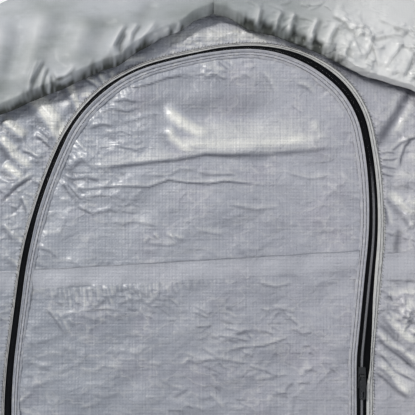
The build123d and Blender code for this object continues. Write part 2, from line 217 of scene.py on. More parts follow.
doorFoldLines = [
    ([(-156, 1730), (-140, 1743), (-118, 1741), (-101, 1745), (-74, 1755), (-28, 1763)], 2.6, 5, 1.6, 0.1, 0.9),
    ([(-76, 1716), (-64, 1699), (-48, 1684), (-26, 1671), (0, 1664)], 5, 7, 9, 1.4, 0.2, 0.5),
    ([(-70, 1682), (-63, 1662), (-48, 1648), (-24, 1640)], 4, 6, 8, 1, 0.3, 0.5),
    ([(-206, 1613), (-150, 1619), (-100, 1625), (-60, 1629), (-12, 1638), (26, 1637),
      (90, 1640)], 5.4, 14, 2.2, 0.4, 0.8),
    ([(-20, 1638), (26, 1637), (70, 1638), (119, 1643), (150, 1646), (200, 1649)], 3.6, 14, 3, 0.3, 0.5, 0.3),
    ([(-80, 1664), (-40, 1652), (10, 1650), (60, 1652), (110, 1655), (150, 1660), (186, 1664)], 2.2, 9, 8, 1, 0, 1),
    ([(-60, 1676), (0, 1664), (50, 1664), (110, 1668), (160, 1674)], 1.6, 20, 10, 0.5, 0, 1),
    ([(150, 1690), (158, 1676), (170, 1658)], 2, 6, 7, 0.5, 0, 1),
    # soft valleys, darkened with painted shade
    ([(-190, 1690), (-120, 1706), (-20, 1712), (70, 1716), (120, 1706)], -0.6, 22, 24, 0, 0.42, 1),
    ([(-150, 1732), (-60, 1746), (60, 1748), (130, 1732)], -0.4, 16, 16, 0, 0.22, 1),
    ([(-190, 1560), (-120, 1568), (-40, 1572)], -0.4, 14, 14, 0, 0.18, 1),
    ([(-240, 1628), (-226, 1610), (-204, 1596)], -1.4, 5, 5, 0, 0.6, 0.7),
    ([(-240, 1608), (-214, 1590), (-196, 1570)], -1.4, 4, 4, 0, 0.6, 0.7),
    ([(-236, 1590), (-218, 1570), (-206, 1552)], -1, 4, 4, 0, 0.5, 0.7),
    ([(-229, 1586), (-202, 1584), (-144, 1588), (-100, 1587), (-70, 1598), (-43, 1594), (-8, 1592), (18, 1596),
      (60, 1592), (96, 1586)], 2.6, 3, 1.5, 0.35, 0.9),
    ([(-232, 1600), (-218, 1584), (-206, 1570), (-180, 1573), (-150, 1574)], 1.8, 2.4, 1.8, 0.2, 0.8),
    ([(-236, 1611), (-222, 1618), (-204, 1631), (-190, 1628)], 2, 3, 3, 0.2, 0.8),
    ([(-236, 1606), (-216, 1600), (-196, 1603), (-170, 1597)], 1.8, 3, 2.4, 0.2, 0.8),
    ([(-232, 1596), (-222, 1578), (-212, 1566)], 1.7, 3, 2.4, 0.2, 0.7),
    ([(-218, 1561), (-187, 1546), (-160, 1552), (-140, 1548)], 1.7, 2.2, 2, 0.2, 0.7),
    ([(-190, 1646), (-150, 1650), (-120, 1644), (-95, 1652)], 2.2, 3, 1.6, 0.3, 0.6),
    ([(-175, 1668), (-140, 1672), (-118, 1664)], 2, 3, 1.6, 0.3, 0.6),
    ([(-150, 1684), (-124, 1690), (-90, 1700), (-70, 1696)], 2, 5, 2, 0.35, 0.5),
    ([(-180, 1700), (-158, 1708), (-132, 1704), (-110, 1712)], 2.2, 3, 2, 0.2, 0.8),
    ([(-160, 1718), (-138, 1722), (-112, 1718)], 2, 3, 2, 0.1, 0.8),
    ([(-196, 1678), (-170, 1684), (-150, 1680)], 2, 3, 2, 0.2, 0.7),
    ([(-100, 1605), (-70, 1603), (-52, 1615), (-20, 1612)], 1.8, 2.2, 1.6),
    ([(-30, 1610), (0, 1606), (40, 1607)], 2, 3, 1.6), ([(-75, 1513), (-42, 1505)], 1.5, 3, 2, 0.4, 0.3),
    ([(-105, 1500), (-70, 1497), (-50, 1502)], 1.2, 3, 2), ([(-30, 1520), (20, 1512)], 1.6, 5, 2),
    ([(-92, 1514), (-84, 1506)], 2.4, 2, 2, 0.6), ([(-66, 1512), (-60, 1504)], 2.4, 2, 2, 0.6),
    ([(-58, 1513), (-51, 1504)], 2.4, 2, 2, 0.5), ([(-100, 1508), (-108, 1500)], 2, 2, 2, 0.4),
    ([(-160, 1528), (-120, 1533), (-80, 1526)], 1.8, 4, 2), ([(20, 1560), (70, 1552), (110, 1558)], 1.8, 4, 2),
    ([(110, 1610), (150, 1600), (190, 1606)], 1.8, 4, 2),
    # creamy cloth and puckers at the crown, and faint fold lines down from it
    ([(-30, 1782), (-10, 1776), (14, 1780)], 2.2, 7, 6, 0.5, 0.1, 0.8),
    ([(-16, 1774), (2, 1766), (20, 1770)], 1.8, 6, 5, 0.5, 0.2, 0.6),
    ([(-24, 1766), (-10, 1758), (4, 1761), (16, 1755), (26, 1758)], 2.6, 3, 2, 0.6, 0.6),
    ([(-7, 1758), (-7, 1690)], -0.5, 1.3, 1.3, 0, 0.28), ([(53, 1762), (53, 1694)], -0.5, 1.5, 1.5, 0, 0.25),
    ([(76, 1766), (92, 1746), (98, 1730)], 1.8, 4, 3, 0.4), ([(120, 1716), (140, 1700)], 1.6, 3, 2),
    ([(126, 1748), (146, 1742), (158, 1730)], 1.8, 4, 2, 0.4),
    ([(-150, 1425), (-128, 1432), (-108, 1422), (-92, 1430), (-70, 1421)], 1.2, 3, 2, 0.2, 0.3),
    ([(-140, 1408), (-112, 1412), (-96, 1404)], 1.2, 3, 2, 0.2, 0.3),
    ([(-262, 1402), (-248, 1388), (-236, 1372), (-226, 1356)], 1.6, 3.2, 2.4, 0.3, 0.45, 0.3),
    ([(-250, 1396), (-237, 1387), (-222, 1356)], 1.2, 3, 2.4, 0.3, 0.3, 0.3),
    ([(-210, 1394), (-170, 1398), (-130, 1392)], 2.2, 3, 1.6), ([(-240, 1430), (-200, 1436), (-170, 1430)], 2, 3, 2),
    # lower part
    ([(20, 1334), (46, 1338), (77, 1340), (100, 1348), (123, 1356)], 1.8, 4, 1.4, 0.3, 0.6),
    ([(2, 1357), (35, 1353), (60, 1346)], 1.4, 3, 1.5, 0.2, 0.5),
    ([(12, 1370), (46, 1362), (64, 1366)], 1.3, 3, 1.6, 0.2, 0.4),
    ([(66, 1440), (96, 1432), (124, 1438)], 1.8, 4, 1.8), ([(90, 1400), (130, 1392)], 1.6, 4, 2),
    ([(-40, 1316), (10, 1320), (60, 1312)], 2, 5, 1.8), ([(60, 1286), (120, 1296)], 1.8, 5, 1.8),
]


def bentLine(x, z, reach, way, bend):
    return [(x - reach * math.cos(way), z - reach * math.sin(way)), (x, z),
            (x + reach * math.cos(way + bend), z + reach * math.sin(way + bend))]


def doorCreases():
    made = [fold(*row) for row in doorFoldLines]
    # short puckers hang from the seam
    for x in np.linspace(-252, 148, 66) + draw.uniform(-2.2, 2.2, 66):
        deep = float(readAt([(-250, 0.45), (-222, 1.0), (-120, 0.85), (-50, 0.45), (60, 0.1)], x))
        reach = draw.uniform(8, 38) * deep + 3
        top = 1000 * float(seamMiddle(x / 1000)) - 14
        lean = draw.uniform(-1, 0.32 * reach)
        made.append(fold([(x, top), (x + lean * 0.5, top - reach * 0.55), (x + lean, top - reach)],
                         draw.uniform(0.7, 2.3) * deep, 2.2, 2.0, 0.45 * deep, 0.4 * deep, 0.4))
    return made


wallFoldLines = [
    # left of the zip: broad folds that run down to it, whitened along their crests with a painted highlight
    ([(-300, 1746), (-282, 1730), (-264, 1712), (-251, 1694), (-241, 1676), (-228, 1654),
      (-214, 1630)], 6.5, 8, 12, 1.7, 0.5, 0.6),
    ([(-282, 1706), (-274, 1690), (-268, 1672)], -2, 4, 4, 0, 0.6, 0.5),
    ([(-328, 1692), (-315, 1683), (-303, 1673), (-288, 1664)], 5, 5, 7, 1.5, 0.8, 0.5),
    ([(-334, 1668), (-322, 1657), (-313, 1646), (-308, 1635), (-296, 1626), (-279, 1615)], 5, 5, 7, 1.5, 0.8, 0.5),
    ([(-326, 1624), (-315, 1615), (-304, 1607), (-294, 1600)], 5, 6, 7, 1.4, 0.7, 0.5),
    ([(-334, 1558), (-318, 1572), (-304, 1585), (-290, 1595), (-276, 1602)], -2.6, 2.6, 2.6, 0, 0.9),
    ([(-318, 1578), (-306, 1590), (-292, 1600), (-278, 1609)], 3.2, 3, 3, 0.5, 0.3),
    ([(-279, 1670), (-266, 1662), (-255, 1653), (-246, 1644)], 3.8, 3, 2.4, 0.5, 0.9),
    ([(-270, 1676), (-257, 1666), (-247, 1656)], 2.8, 2, 2.4, 0.4, 0.7),
    ([(-300, 1646), (-284, 1640), (-266, 1630)], 2.8, 3, 2.4, 0.4, 0.8),
    ([(-232, 1756), (-220, 1738), (-212, 1722), (-206, 1706), (-202, 1694)], 4.6, 4, 7, 1.3, 0.6, 0.3),
    ([(-210, 1730), (-207, 1718), (-208, 1706)], -1.8, 2, 2, 0, 0.8),
    ([(-206, 1724), (-196, 1728), (-189, 1724)], 3, 4, 3, 0.8, 0.5),
    ([(-200, 1757), (-188, 1749), (-175, 1742)], 4.4, 4, 2.6, 0.9, 0.9, 0.2),
    ([(-178, 1762), (-171, 1751), (-166, 1743)], 3.8, 3, 3, 0.9, 0.6),
    ([(-160, 1766), (-156, 1756), (-152, 1748)], 3.4, 3, 3, 0.8, 0.6),
    ([(-148, 1779), (-134, 1781), (-118, 1782), (-100, 1782)], 3.4, 5, 3, 0.8, 0.5, 0.3),
    ([(-140, 1772), (-128, 1777), (-114, 1776)], 2.8, 3, 2, 0.7, 0.5),
    ([(-60, 1812), (-34, 1818), (-10, 1820)], 2.4, 5, 3, 0.4),
    ([(-318, 1540), (-304, 1552), (-292, 1566)], -1.6, 3, 3, 0, 0.5),
    ([(-297, 1574), (-288, 1553), (-286, 1540)], 3.2, 3, 3, 0.5, 0.7),
    ([(-285, 1600), (-272, 1594), (-258, 1582)], 2.6, 3, 2.4, 0.4, 0.7),
    ([(-326, 1530), (-314, 1516), (-304, 1502)], 3.2, 3, 4, 0.6, 0.6), ([(-312, 1520), (-296, 1498)], 3, 3, 4, 0.5),
    ([(-318, 1478), (-308, 1470), (-300, 1462)], 2.6, 3, 4, 0.4),
    ([(-335, 1600), (-316, 1592), (-300, 1596)], 2.2, 3, 2),
    # right of the zip: a deep fold darkened with painted shade, long creases, and a crumpled patch lower down
    ([(322, 1766), (300, 1728), (284, 1700), (268, 1674), (252, 1648), (244, 1636)], -2.6, 8.5, 8.5, 0, 1, 1),
    # a soft valley under the hem, darkened with the hem's painted shadow
    ([(150, 1796), (190, 1776), (220, 1762), (256, 1750), (300, 1738), (350, 1724)], -0.8, 10, 12, 0, 0.85, 1),
    ([(290, 1738), (276, 1708), (262, 1676)], 4, 4, 4, 0.55, 0, 0.5),
    ([(314, 1728), (302, 1704), (287, 1680), (272, 1660)], 4.4, 5, 6, 0.7, 0, 0.5),
    ([(320, 1667), (304, 1662), (288, 1655), (276, 1645), (270, 1636)], 4, 3, 2.2, 0.5, 1),
    ([(306, 1664), (294, 1650), (287, 1632), (284, 1614)], 3.8, 3, 2.4, 0.5, 1),
    ([(259, 1639), (270, 1642), (284, 1640)], 2.6, 2.4, 1.8, 0.3, 0.9),
    ([(258, 1630), (276, 1630), (290, 1634)], 2.6, 2.4, 1.8, 0.3, 0.9),
    ([(256, 1621), (272, 1618), (286, 1616)], 2.4, 2.4, 1.8, 0.3, 0.8),
    ([(256, 1612), (270, 1606), (284, 1604)], 2.4, 2.4, 1.8, 0.3, 0.8),
    ([(274, 1600), (290, 1605), (306, 1602), (320, 1606)], 4.6, 4, 9, 0.5, 0.3, 0.4),
    ([(268, 1580), (284, 1566), (298, 1552), (318, 1540)], 5, 5, 7, 1.5, 0.6, 0.3),
    ([(262, 1570), (272, 1548), (276, 1522)], 3.6, 3, 3, 0.6, 0.8),
    ([(296, 1566), (308, 1560), (322, 1562)], 4, 6, 5, 1, 0.5),
    ([(292, 1546), (304, 1536), (310, 1520)], 3.8, 4, 4, 0.9, 0.6),
    ([(288, 1530), (284, 1500), (280, 1470), (282, 1446)], -1.4, 5, 6, 0, 0.8, 0.8),
    ([(286, 1422), (306, 1400), (326, 1384), (352, 1376)], 2.6, 17, 16, 0.9, 0, 1),
    ([(292, 1562), (316, 1548), (346, 1530)], 2.6, 14, 12, 0.8, 0, 1),
    ([(300, 1640), (322, 1630), (350, 1626)], 2.4, 12, 12, 0.7, 0, 1),
    ([(262, 1392), (272, 1372), (284, 1352)], -1.6, 6, 7, 0, 0.75, 1),
    ([(262, 1441), (286, 1440), (322, 1437)], -1, 1.6, 1.6, 0, 0.8),
    ([(268, 1518), (276, 1514), (286, 1520), (296, 1516)], 2.4, 3, 2, 0.2, 0.7),
    ([(262, 1424), (284, 1420), (304, 1426), (322, 1420)], 3.6, 4, 5, 0.6, 0.7, 0.3),
    # the long slanting folds at the foot of the picture
    ([(252, 1378), (268, 1362), (284, 1346), (304, 1332), (322, 1326)], -3.2, 5, 5, 0, 0.95, 0.7),
    ([(262, 1392), (280, 1372), (298, 1354), (322, 1342)], 5.2, 6, 5, 1.4, 0.3, 0.3),
    ([(249, 1352), (268, 1338), (290, 1322), (306, 1308), (322, 1298)], -2.6, 3, 3, 0, 1, 0.3),
    ([(252, 1366), (270, 1344), (292, 1334), (324, 1306)], 5, 7, 4, 1, 0.7, 0.3),
    ([(249, 1334), (264, 1326), (284, 1302), (318, 1286)], 3.4, 4, 2.4, 0.6, 0.9, 0.1),
    ([(252, 1316), (276, 1296), (288, 1276), (310, 1262)], 4.4, 9, 4, 0.9, 0.8, 0.4),
    ([(250, 1304), (268, 1292), (290, 1270)], 3.4, 4, 3, 0.5, 0.8),
]


def wallCreases():
    made = [fold(*row) for row in wallFoldLines]
    # crinkled cloth drawn up by the binding, over the crown
    for _ in range(52):
        x, reach, lean = draw.uniform(-90, 112), draw.uniform(4, 11), draw.normal(0.1, 0.35)
        foot = 1000 * float(zipAt(x / 1000 - zipLine["crown"][0], 0.010)[1]) + draw.uniform(0, 16)
        ends = [(x - reach, foot - reach * lean), (x, foot), (x + reach, foot + draw.uniform(-3, 2))]
        made.append(fold(ends, draw.uniform(0.8, 2.0), draw.uniform(3, 5), draw.uniform(2, 3),
                         draw.uniform(0.3, 0.95), 0.15, 0.5))
    made.append(fold([(-90, 1802), (-50, 1814), (0, 1820), (50, 1818), (104, 1806)], 1.0, 9, 7, 0.7, 0.0, 1.0))
    # crumpled patch at the right of the picture
    for _ in range(64):
        x, z, way = draw.uniform(274, 345), draw.uniform(1352, 1424), draw.uniform(-1.4, 1.4)
        ends = bentLine(x, z, draw.uniform(5, 13), way, draw.uniform(-0.7, 0.7))
        made.append(fold(ends, draw.uniform(1.6, 4.2), draw.uniform(2, 4), draw.uniform(2, 3.4),
                         draw.uniform(0.5, 1.0), draw.uniform(0.5, 1.0)))
    return made


# Ranges of the loose creases across and up, of half their length and of their height
nearSpans = ((-335, 320), (1225, 1840), (6, 30), (0.5, 1.7))
farSpans = ((-1000, 1000), (20, 1960), (40, 130), (1.0, 3.4))


def looseCreases(near, far, level):
    # creases over the rest of the sheets; the far ones are wider, where the grid is coarse
    made = []
    for index in range(near + far):
        isNear = index < near
        x, z, reach, high = (draw.uniform(*span) for span in (nearSpans if isNear else farSpans))
        wide = 1.0 if isNear else 3.6
        if not isNear and -380 < x < 370 and z > 1190:
            continue
        way = draw.normal(0, level) + (draw.choice([0, math.pi / 2]) if draw.uniform() < 0.2 else 0)
        bend = draw.uniform(-0.6, 0.6)
        # the cloth right of the middle of the door lies smoother
        calm = 0.8 - 0.5 * float(ease((x + 190) / 90) * (1 - ease((x - 230) / 30)))
        ends = bentLine(x, z, reach, way, bend)
        made.append(fold(ends, high * calm, wide * draw.uniform(2, 5), wide * draw.uniform(1.4, 3),
                         draw.uniform(0, 0.35) * calm, draw.uniform(0.1, 0.5) * calm))
    return made


def smallCreases(patches):
    # many short creases in each patch, given as its sides in millimetres, a count and a height
    own, made = np.random.default_rng(7), []
    for left, right, foot, top, count, high in patches:
        for _ in range(count):
            x, z, reach = own.uniform(left, right), own.uniform(foot, top), own.uniform(4, 15)
            lean, bend = own.normal(0, 0.45), own.uniform(-0.5, 0.5)
            ends = [(x - reach, z - reach * lean), (x, z), (x + reach, z + reach * (lean + bend))]
            made.append(fold(ends, high * own.uniform(0.4, 1.2), own.uniform(1.6, 3.6), own.uniform(1.2, 2.2),
                             own.uniform(0, 0.35), own.uniform(0.15, 0.6)))
    return made


def foldShape(folds, x, z):
    # height of the folds, and their painted light: whitening and painted highlight above nothing, painted shade below
    total, whiteAndHighlight, paintedShade = np.zeros(x.shape), np.zeros(x.shape), np.zeros(x.shape)
    for points, high, above, below, shine, line, soft in folds:
        wide = 5 * max(above, below)
        low, top = points.min(0) - wide, points.max(0) + wide
        near = np.flatnonzero((x > low[0]) & (x < top[0]) & (z > low[1]) & (z < top[1]))
        if not near.size:
            continue
        px, pz = x[near], z[near]
        gap, side, along, gone = np.full(px.shape, 9.0), np.zeros(px.shape), np.zeros(px.shape), 0.0
        for (x0, z0), (x1, z1) in zip(points, points[1:]):
            dx, dz = x1 - x0, z1 - z0
            length = math.hypot(dx, dz)
            t = np.clip(((px - x0) * dx + (pz - z0) * dz) / length ** 2, 0, 1)
            away = np.hypot(px - x0 - t * dx, pz - z0 - t * dz)
            closer = away < gap
            gap = np.where(closer, away, gap)
            side = np.where(closer, (pz - z0) * dx - (px - x0) * dz, side)
            along = np.where(closer, gone + t * length, along)
            gone += length
        over = side * (points[-1][0] - points[0][0] + 1e-9) > 0
        b = gap / np.where(over, above, below)
        crest = (1 - soft) * np.exp(0.17 - np.sqrt(b ** 2 + 0.03)) + soft * np.exp(-0.5 * b ** 2)
        taper = ease(along / (0.22 * gone)) * ease((gone - along) / (0.22 * gone))
        total[near] += high * crest * taper
        # where the crest is whitened: stress whitening and a painted highlight
        rubbedAndSheen = np.exp(-(gap / np.where(over, 1.3 * above, 1.0 * below)) ** 2)
        whiteAndHighlight[near] = np.maximum(whiteAndHighlight[near], shine * rubbedAndSheen * taper)
        # painted shade on the lower side of a crest, and along a valley
        if high > 0:
            under = np.exp(-((gap - 1.6 * below) / max(below, 0.0012)) ** 2) * ~over
        else:
            under = np.exp(-b ** 2)
        paintedShade[near] = np.maximum(paintedShade[near], line * under * taper)
    return total, np.clip(whiteAndHighlight - paintedShade, -1, 1)


def seamMiddle(x):
    return wallLines["seam"] + x * math.tan(math.radians(wallLines["seamTilt"]))


clothLook = {"broad": 0.0024, "ripple": 0.0014, "crumple": 0.0008, "fineCrumple": 0.00045, "pucker": 0.00075,
             "slack": 0.010, "fineSlack": 0.006}
broadWaves = makeWaves(9, 0.28, 0.7)
rippleWaves = makeWaves(16, 0.040, 0.12, 0.8)
crumpleWaves = makeWaves(12, 0.05, 0.13, 0.75)
fineWaves = makeWaves(12, 0.022, 0.05, 0.85)
maskWaves = makeWaves(8, 0.15, 0.4)
doorFolds = doorCreases() + looseCreases(420, 480, 0.3)
doorFolds += smallCreases([(-235, -110, 1545, 1735, 110, 0.8), (-30, 160, 1300, 1400, 60, 1.1),
                           (-240, -60, 1380, 1432, 40, 1.1), (-110, 190, 1240, 1320, 40, 0.9),
                           (-40, 60, 1752, 1786, 26, 1.0)])
wallFolds = wallCreases() + looseCreases(330, 520, 0.55)
wallFolds += smallCreases([(-340, -235, 1500, 1700, 70, 1.0), (252, 340, 1480, 1650, 50, 1.4),
                           (262, 345, 1290, 1440, 50, 1.5)])


def frameGap(x, z):
    # how far a point of the wall is from the nearest tube's axis
    slope = abs(wallLines["ridge"] - abs(x) * slopeTan - z) * math.cos(math.radians(wallLines["pitch"]))
    gap = np.minimum(np.minimum(abs(wallLines["cornerTube"] - abs(x)), slope), abs(z - wallLines["rail"]))
    for post in posts:
        gap = np.minimum(gap, abs(x - post))
    return gap


def lieOn(height, x, z, slack):
    # the cloth never goes back into the tubes
    floor = -0.0001 - np.clip((frameGap(x, z) - 0.02) * 0.3, 0, slack)
    soft = 0.0004
    return floor + soft * np.logaddexp(0, (height - floor) / soft)


def baseHeight(x, z):
    # broad swell of the cloth, flat where the slider runs
    s, d = toZip(x, z)
    track = (1 - ease((abs(d) - 0.02) / 0.06)) * (1 - ease((z - 1.36) / 0.12)) * (s > 0)
    hold = ease((frameGap(x, z) - 0.01) / 0.08)
    return lieOn(clothLook["broad"] * waveSum(broadWaves, x, z) * hold, x, z, clothLook["slack"]) * (1 - track)


puckerWaves = makeWaves(10, 0.005, 0.011)


def puckers(s, d):
    # the stitching draws the cloth into short radial wrinkles beside the zip
    far = np.where(d > 0, zipSpan("wallFar", s), zipSpan("doorFar", s))
    gap = abs(d) - far
    drawn = clothLook["pucker"] * waveSum(puckerWaves * (1, 0, 1), s + 0.3 * gap, gap)
    return drawn * np.exp(-np.maximum(gap, 0) / 0.009) * (gap > -0.004)


def clothShape(x, z, folds):
    # height forward of the sheet's middle, and its painted light: whitening with a painted highlight, and painted
    # shade
    s, d = toZip(x, z)
    away = ease((abs(d) - 0.012) / 0.012)
    mask = ease(0.5 + 0.5 * waveSum(maskWaves, x, z))
    high = clothLook["ripple"] * waveSum(rippleWaves, x, z)
    high += clothLook["crumple"] * np.exp(-abs(waveSum(crumpleWaves, x, z)) / 0.30) * mask * 2
    high += clothLook["fineCrumple"] * np.exp(-abs(waveSum(fineWaves, x, z)) / 0.4) * (0.4 + mask)
    lift, wearAndPaintedLight = foldShape(folds, x, z)
    high += lift + puckers(s, d)
    slack = high * away * ease((frameGap(x, z) - 0.004) / 0.02 + 0.25)
    return baseHeight(x, z) + lieOn(slack, x, z, clothLook["fineSlack"]), wearAndPaintedLight


# Node materials

def addNode(kind, inputs=None, **settings):
    made = tree.nodes.new("ShaderNode" + kind)
    for key, value in settings.items():
        setattr(made, key, value)
    for key, value in (inputs or {}).items():
        if isinstance(value, bpy.types.NodeSocket):
            tree.links.new(value, made.inputs[key])
        else:
            made.inputs[key].default_value = value
    return made


def newMaterial(name, **shader):
    # the material, its shader and the place on the piece; the nodes made next go into its tree
    global tree
    made = bpy.data.materials.new(name)
    made.use_nodes = True
    tree = made.node_tree
    main = tree.nodes["Principled BSDF"]
    for key, value in shader.items():
        main.inputs[key.replace("_", " ")].default_value = value
    return made, main, addNode("TexCoord").outputs["Object"]


def join(value, node, key):
    tree.links.new(value, node.inputs[key])


def blend(factor, first, second):
    return addNode("Mix", {0: factor, 6: first, 7: second}, data_type="RGBA").outputs[2]


def maths(operation, *values):
    return addNode("Math", dict(enumerate(values)), operation=operation).outputs[0]


def times(first, second):
    return maths("MULTIPLY", first, second)


def plus(first, second):
    return maths("ADD", first, second)


def most(first, second):
    return maths("MAXIMUM", first, second)


def offBy(value, middle):
    return maths("ABSOLUTE", maths("SUBTRACT", value, middle))


def sidesOf(place):
    # how far across the wall and how far up
    split = addNode("SeparateXYZ", {0: place})
    return split.outputs[0], split.outputs[2]


def stretchedOf(place, scale, turn=0.0):
    return addNode("Mapping", {"Vector": place, "Scale": scale, "Rotation": (0.0, turn, 0.0)}).outputs[0]


def ranged(value, low, high, toLow=0.0, toHigh=1.0):
    return addNode("MapRange", {0: value, 1: low, 2: high, 3: toLow, 4: toHigh}).outputs[0]


def noiseOf(place, scale, detail=3.0, rough=0.55):
    return addNode("TexNoise", {"Vector": place, "Scale": scale, "Detail": detail, "Roughness": rough}).outputs[0]


def bumped(main, layers):
    normal = None
    for height, distance, strength in layers:
        inputs = {"Height": height, "Distance": distance, "Strength": strength}
        if normal:
            inputs["Normal"] = normal
        normal = addNode("Bump", inputs).outputs[0]
    join(normal, main, "Normal")


def weaveOf(place, pitch):
    # threads that run up and threads that run across
    inputs = {"Vector": place, "Scale": 0.31416 / pitch, "Distortion": 0.6, "Detail": 1.0, "Detail Scale": 0.4}
    return [addNode("TexWave", inputs, bands_direction=way).outputs["Fac"] for way in "XZ"]


def bandAt(across, middle, half, soft):
    # 1 within half of middle, fading over soft
    return ranged(offBy(across, middle), half, half + soft, 1.0, 0.0)


def ridgesOf(place, scales, wide):
    # thin crests where a noise passes its middle value
    return [ranged(offBy(noiseOf(place, scale, 2.0, 0.5), 0.5), 0.0, wide, 1.0, 0.0) for scale in scales]


sheetLook = {
    "shade": (0.286, 0.309, 0.362, 1), "light": (0.395, 0.417, 0.470, 1), "violet": (0.385, 0.365, 0.435, 1),
    "milkAndHighlight": (0.88, 0.87, 0.81, 1), "creaseShade": (0.055, 0.058, 0.080, 1), "ribTape": (0.66, 0.67, 0.70, 1),
    "paleTape": (0.70, 0.70, 0.71, 1), "darkTape": (0.18, 0.19, 0.23, 1), "lowerLeft": (0.19, 0.21, 0.25, 1),
    "right": (0.415, 0.395, 0.44, 1), "farRight": (0.57, 0.56, 0.59, 1), "tube": (0.20, 0.21, 0.24, 1),
    "doubled": (0.56, 0.565, 0.61, 1), "dust": (0.27, 0.245, 0.20, 1), "weave": 0.0026, "rib": 0.0052,
    "roughness": 0.40, "coat": 0.65, "creaseCoat": 0.10,
}


def wovenSheet(name, crumple, lift=0.0):
    made, main, place = newMaterial(name, IOR=1.48, Coat_Weight=sheetLook["coat"], Coat_Roughness=0.29)
    x, z = sidesOf(place)
    broad = noiseOf(place, 5.0, 4.0, 0.6)
    patch = noiseOf(place, 14.0, 3.0, 0.6)
    tone = blend(ranged(broad, 0.35, 0.65), sheetLook["shade"], sheetLook["light"])
    tone = blend(ranged(patch, 0.52, 0.75, 0.0, 0.55), tone, sheetLook["violet"])
    # woven tapes, every second one thicker
    weave, ribs = weaveOf(place, sheetLook["weave"]), weaveOf(place, sheetLook["rib"])
    grid = most(maths("POWER", ribs[0], 3.0), maths("POWER", ribs[1], 3.0))
    tone = blend(times(grid, 0.10), tone, sheetLook["ribTape"])
    # no two tapes are quite alike
    streaks = []
    for scale in ((14, 1, 390), (390, 1, 14)):
        streaks.append(noiseOf(stretchedOf(place, scale), 1.0, 1.0, 0.4))
    tapes = plus(streaks[0], streaks[1])
    clear = ranged(patch, 0.35, 0.6, 0.12, 0.30)
    tone = blend(times(ranged(tapes, 1.0, 1.35), clear), tone, sheetLook["paleTape"])
    tone = blend(times(ranged(tapes, 1.0, 0.65), clear), tone, sheetLook["darkTape"])
    # painted shade: bluer and darker below the seam on the left; warmer on the right
    below = ranged(z, wallLines["seam"] - 0.03, wallLines["seam"] + (0.01 if lift else 0.20), 1.0, 0.0)
    across = ranged(x, -0.20, 0.20)
    dullAndShade = times(below, maths("SUBTRACT", 1.0, across))
    tone = blend(times(dullAndShade, 0.40), tone, sheetLook["lowerLeft"])
    tone = blend(times(across, 0.40), tone, sheetLook["right"])
    tone = blend(ranged(x, 0.23, 0.30, 0.0, 0.50), tone, sheetLook["farRight"])
    # wrinkles of the coating: level streaks and bent facets, milky along their crests with stress whitening and a
    # painted highlight
    flat = stretchedOf(place, (0.72, 1.0, 1.15), 0.2)
    drift = addNode("TexNoise", {"Vector": place, "Scale": 26.0, "Detail": 2.0}).outputs["Color"]
    drift = addNode("VectorMath", {0: drift, "Scale": 0.020}, operation="SCALE").outputs[0]
    bent = addNode("VectorMath", {0: flat, 1: drift}, operation="ADD").outputs[0]
    ridges = ridgesOf(bent, (34.0, 75.0), 0.10)
    facets = addNode("TexVoronoi", {"Vector": bent, "Scale": 60.0}, feature="DISTANCE_TO_EDGE").outputs[0]
    wearAndPaintedLight = ranged(patch, 0.40, 0.64, 0.15, 1.0)
    crest = times(times(maths("POWER", ridges[0], 4.0), wearAndPaintedLight), 0.30 * crumple)
    tone = blend(crest, tone, sheetLook["milkAndHighlight"])
    # stretched white with a painted highlight along the folds, painted shade in the creases beside them
    folds = addNode("Attribute", attribute_name="wearAndPaintedLight").outputs["Fac"]
    whiteAndHighlight = times(ranged(folds, 0.0, 1.0), ranged(tapes, 0.75, 1.25, 0.62, 1.0))
    whiteAndHighlight = times(whiteAndHighlight, ranged(noiseOf(place, 34.0), 0.32, 0.6, 0.66, 1.0))
    tone = blend(whiteAndHighlight, tone, sheetLook["milkAndHighlight"])
    tone = blend(ranged(folds, 0.0, -1.0, 0.0, 0.85), tone, sheetLook["creaseShade"])
    join(ranged(folds, 0.0, -1.0, sheetLook["coat"], sheetLook["creaseCoat"]), main, "Coat Weight")
    # painted shade of the tubes behind, which show faintly through the sheet
    outwards = maths("ABSOLUTE", x)
    slope = maths("MULTIPLY_ADD", outwards, slopeTan, z)
    behind = bandAt(outwards, wallLines["cornerTube"], 0.010, 0.006)
    for line, middle, half, soft in ((x, posts[0], 0.007, 0.006), (x, posts[1], 0.007, 0.006),
                                     (slope, wallLines["ridge"], 0.011, 0.007), (z, wallLines["rail"], 0.010, 0.006)):
        behind = most(behind, bandAt(line, middle, half, soft))
    tone = blend(times(behind, 0.14), tone, sheetLook["tube"])
    if lift:
        tone = blend(lift, tone, sheetLook["doubled"])
    # dust near the ground
    dust = times(ranged(z, 0.02, 0.35, 1.0, 0.0), noiseOf(place, 22.0, 5.0, 0.65))
    tone = blend(times(dust, 0.55), tone, sheetLook["dust"])
    join(tone, main, "Base Color")
    rough = sheetLook["roughness"]
    join(ranged(patch, 0.3, 0.7, rough - 0.06, rough + 0.12), main, "Roughness")
    cloth = plus(times(*weave), times(grid, 1.2))
    bumped(main, [(times(ridges[0], wearAndPaintedLight), 0.0013 * crumple, 0.6),
                  (times(ridges[1], wearAndPaintedLight), 0.0004 * crumple, 0.6),
                  (facets, 0.010 * crumple, 0.30), (noiseOf(place, 60.0, 4.0), 0.0022, 0.5), (cloth, 0.00034, 0.8)])
    return made


filmLook = {
    "body": (0.24, 0.265, 0.255, 1), "pale": (0.43, 0.45, 0.475, 1), "bright": (0.78, 0.78, 0.77, 1),
    "tuck": (0.050, 0.055, 0.048, 1), "cloudy": (0.56, 0.57, 0.59, 1), "dullAndShade": (0.16, 0.18, 0.165, 1),
    "thread": (0.6, 0.61, 0.6, 1), "weave": 0.0040,
}


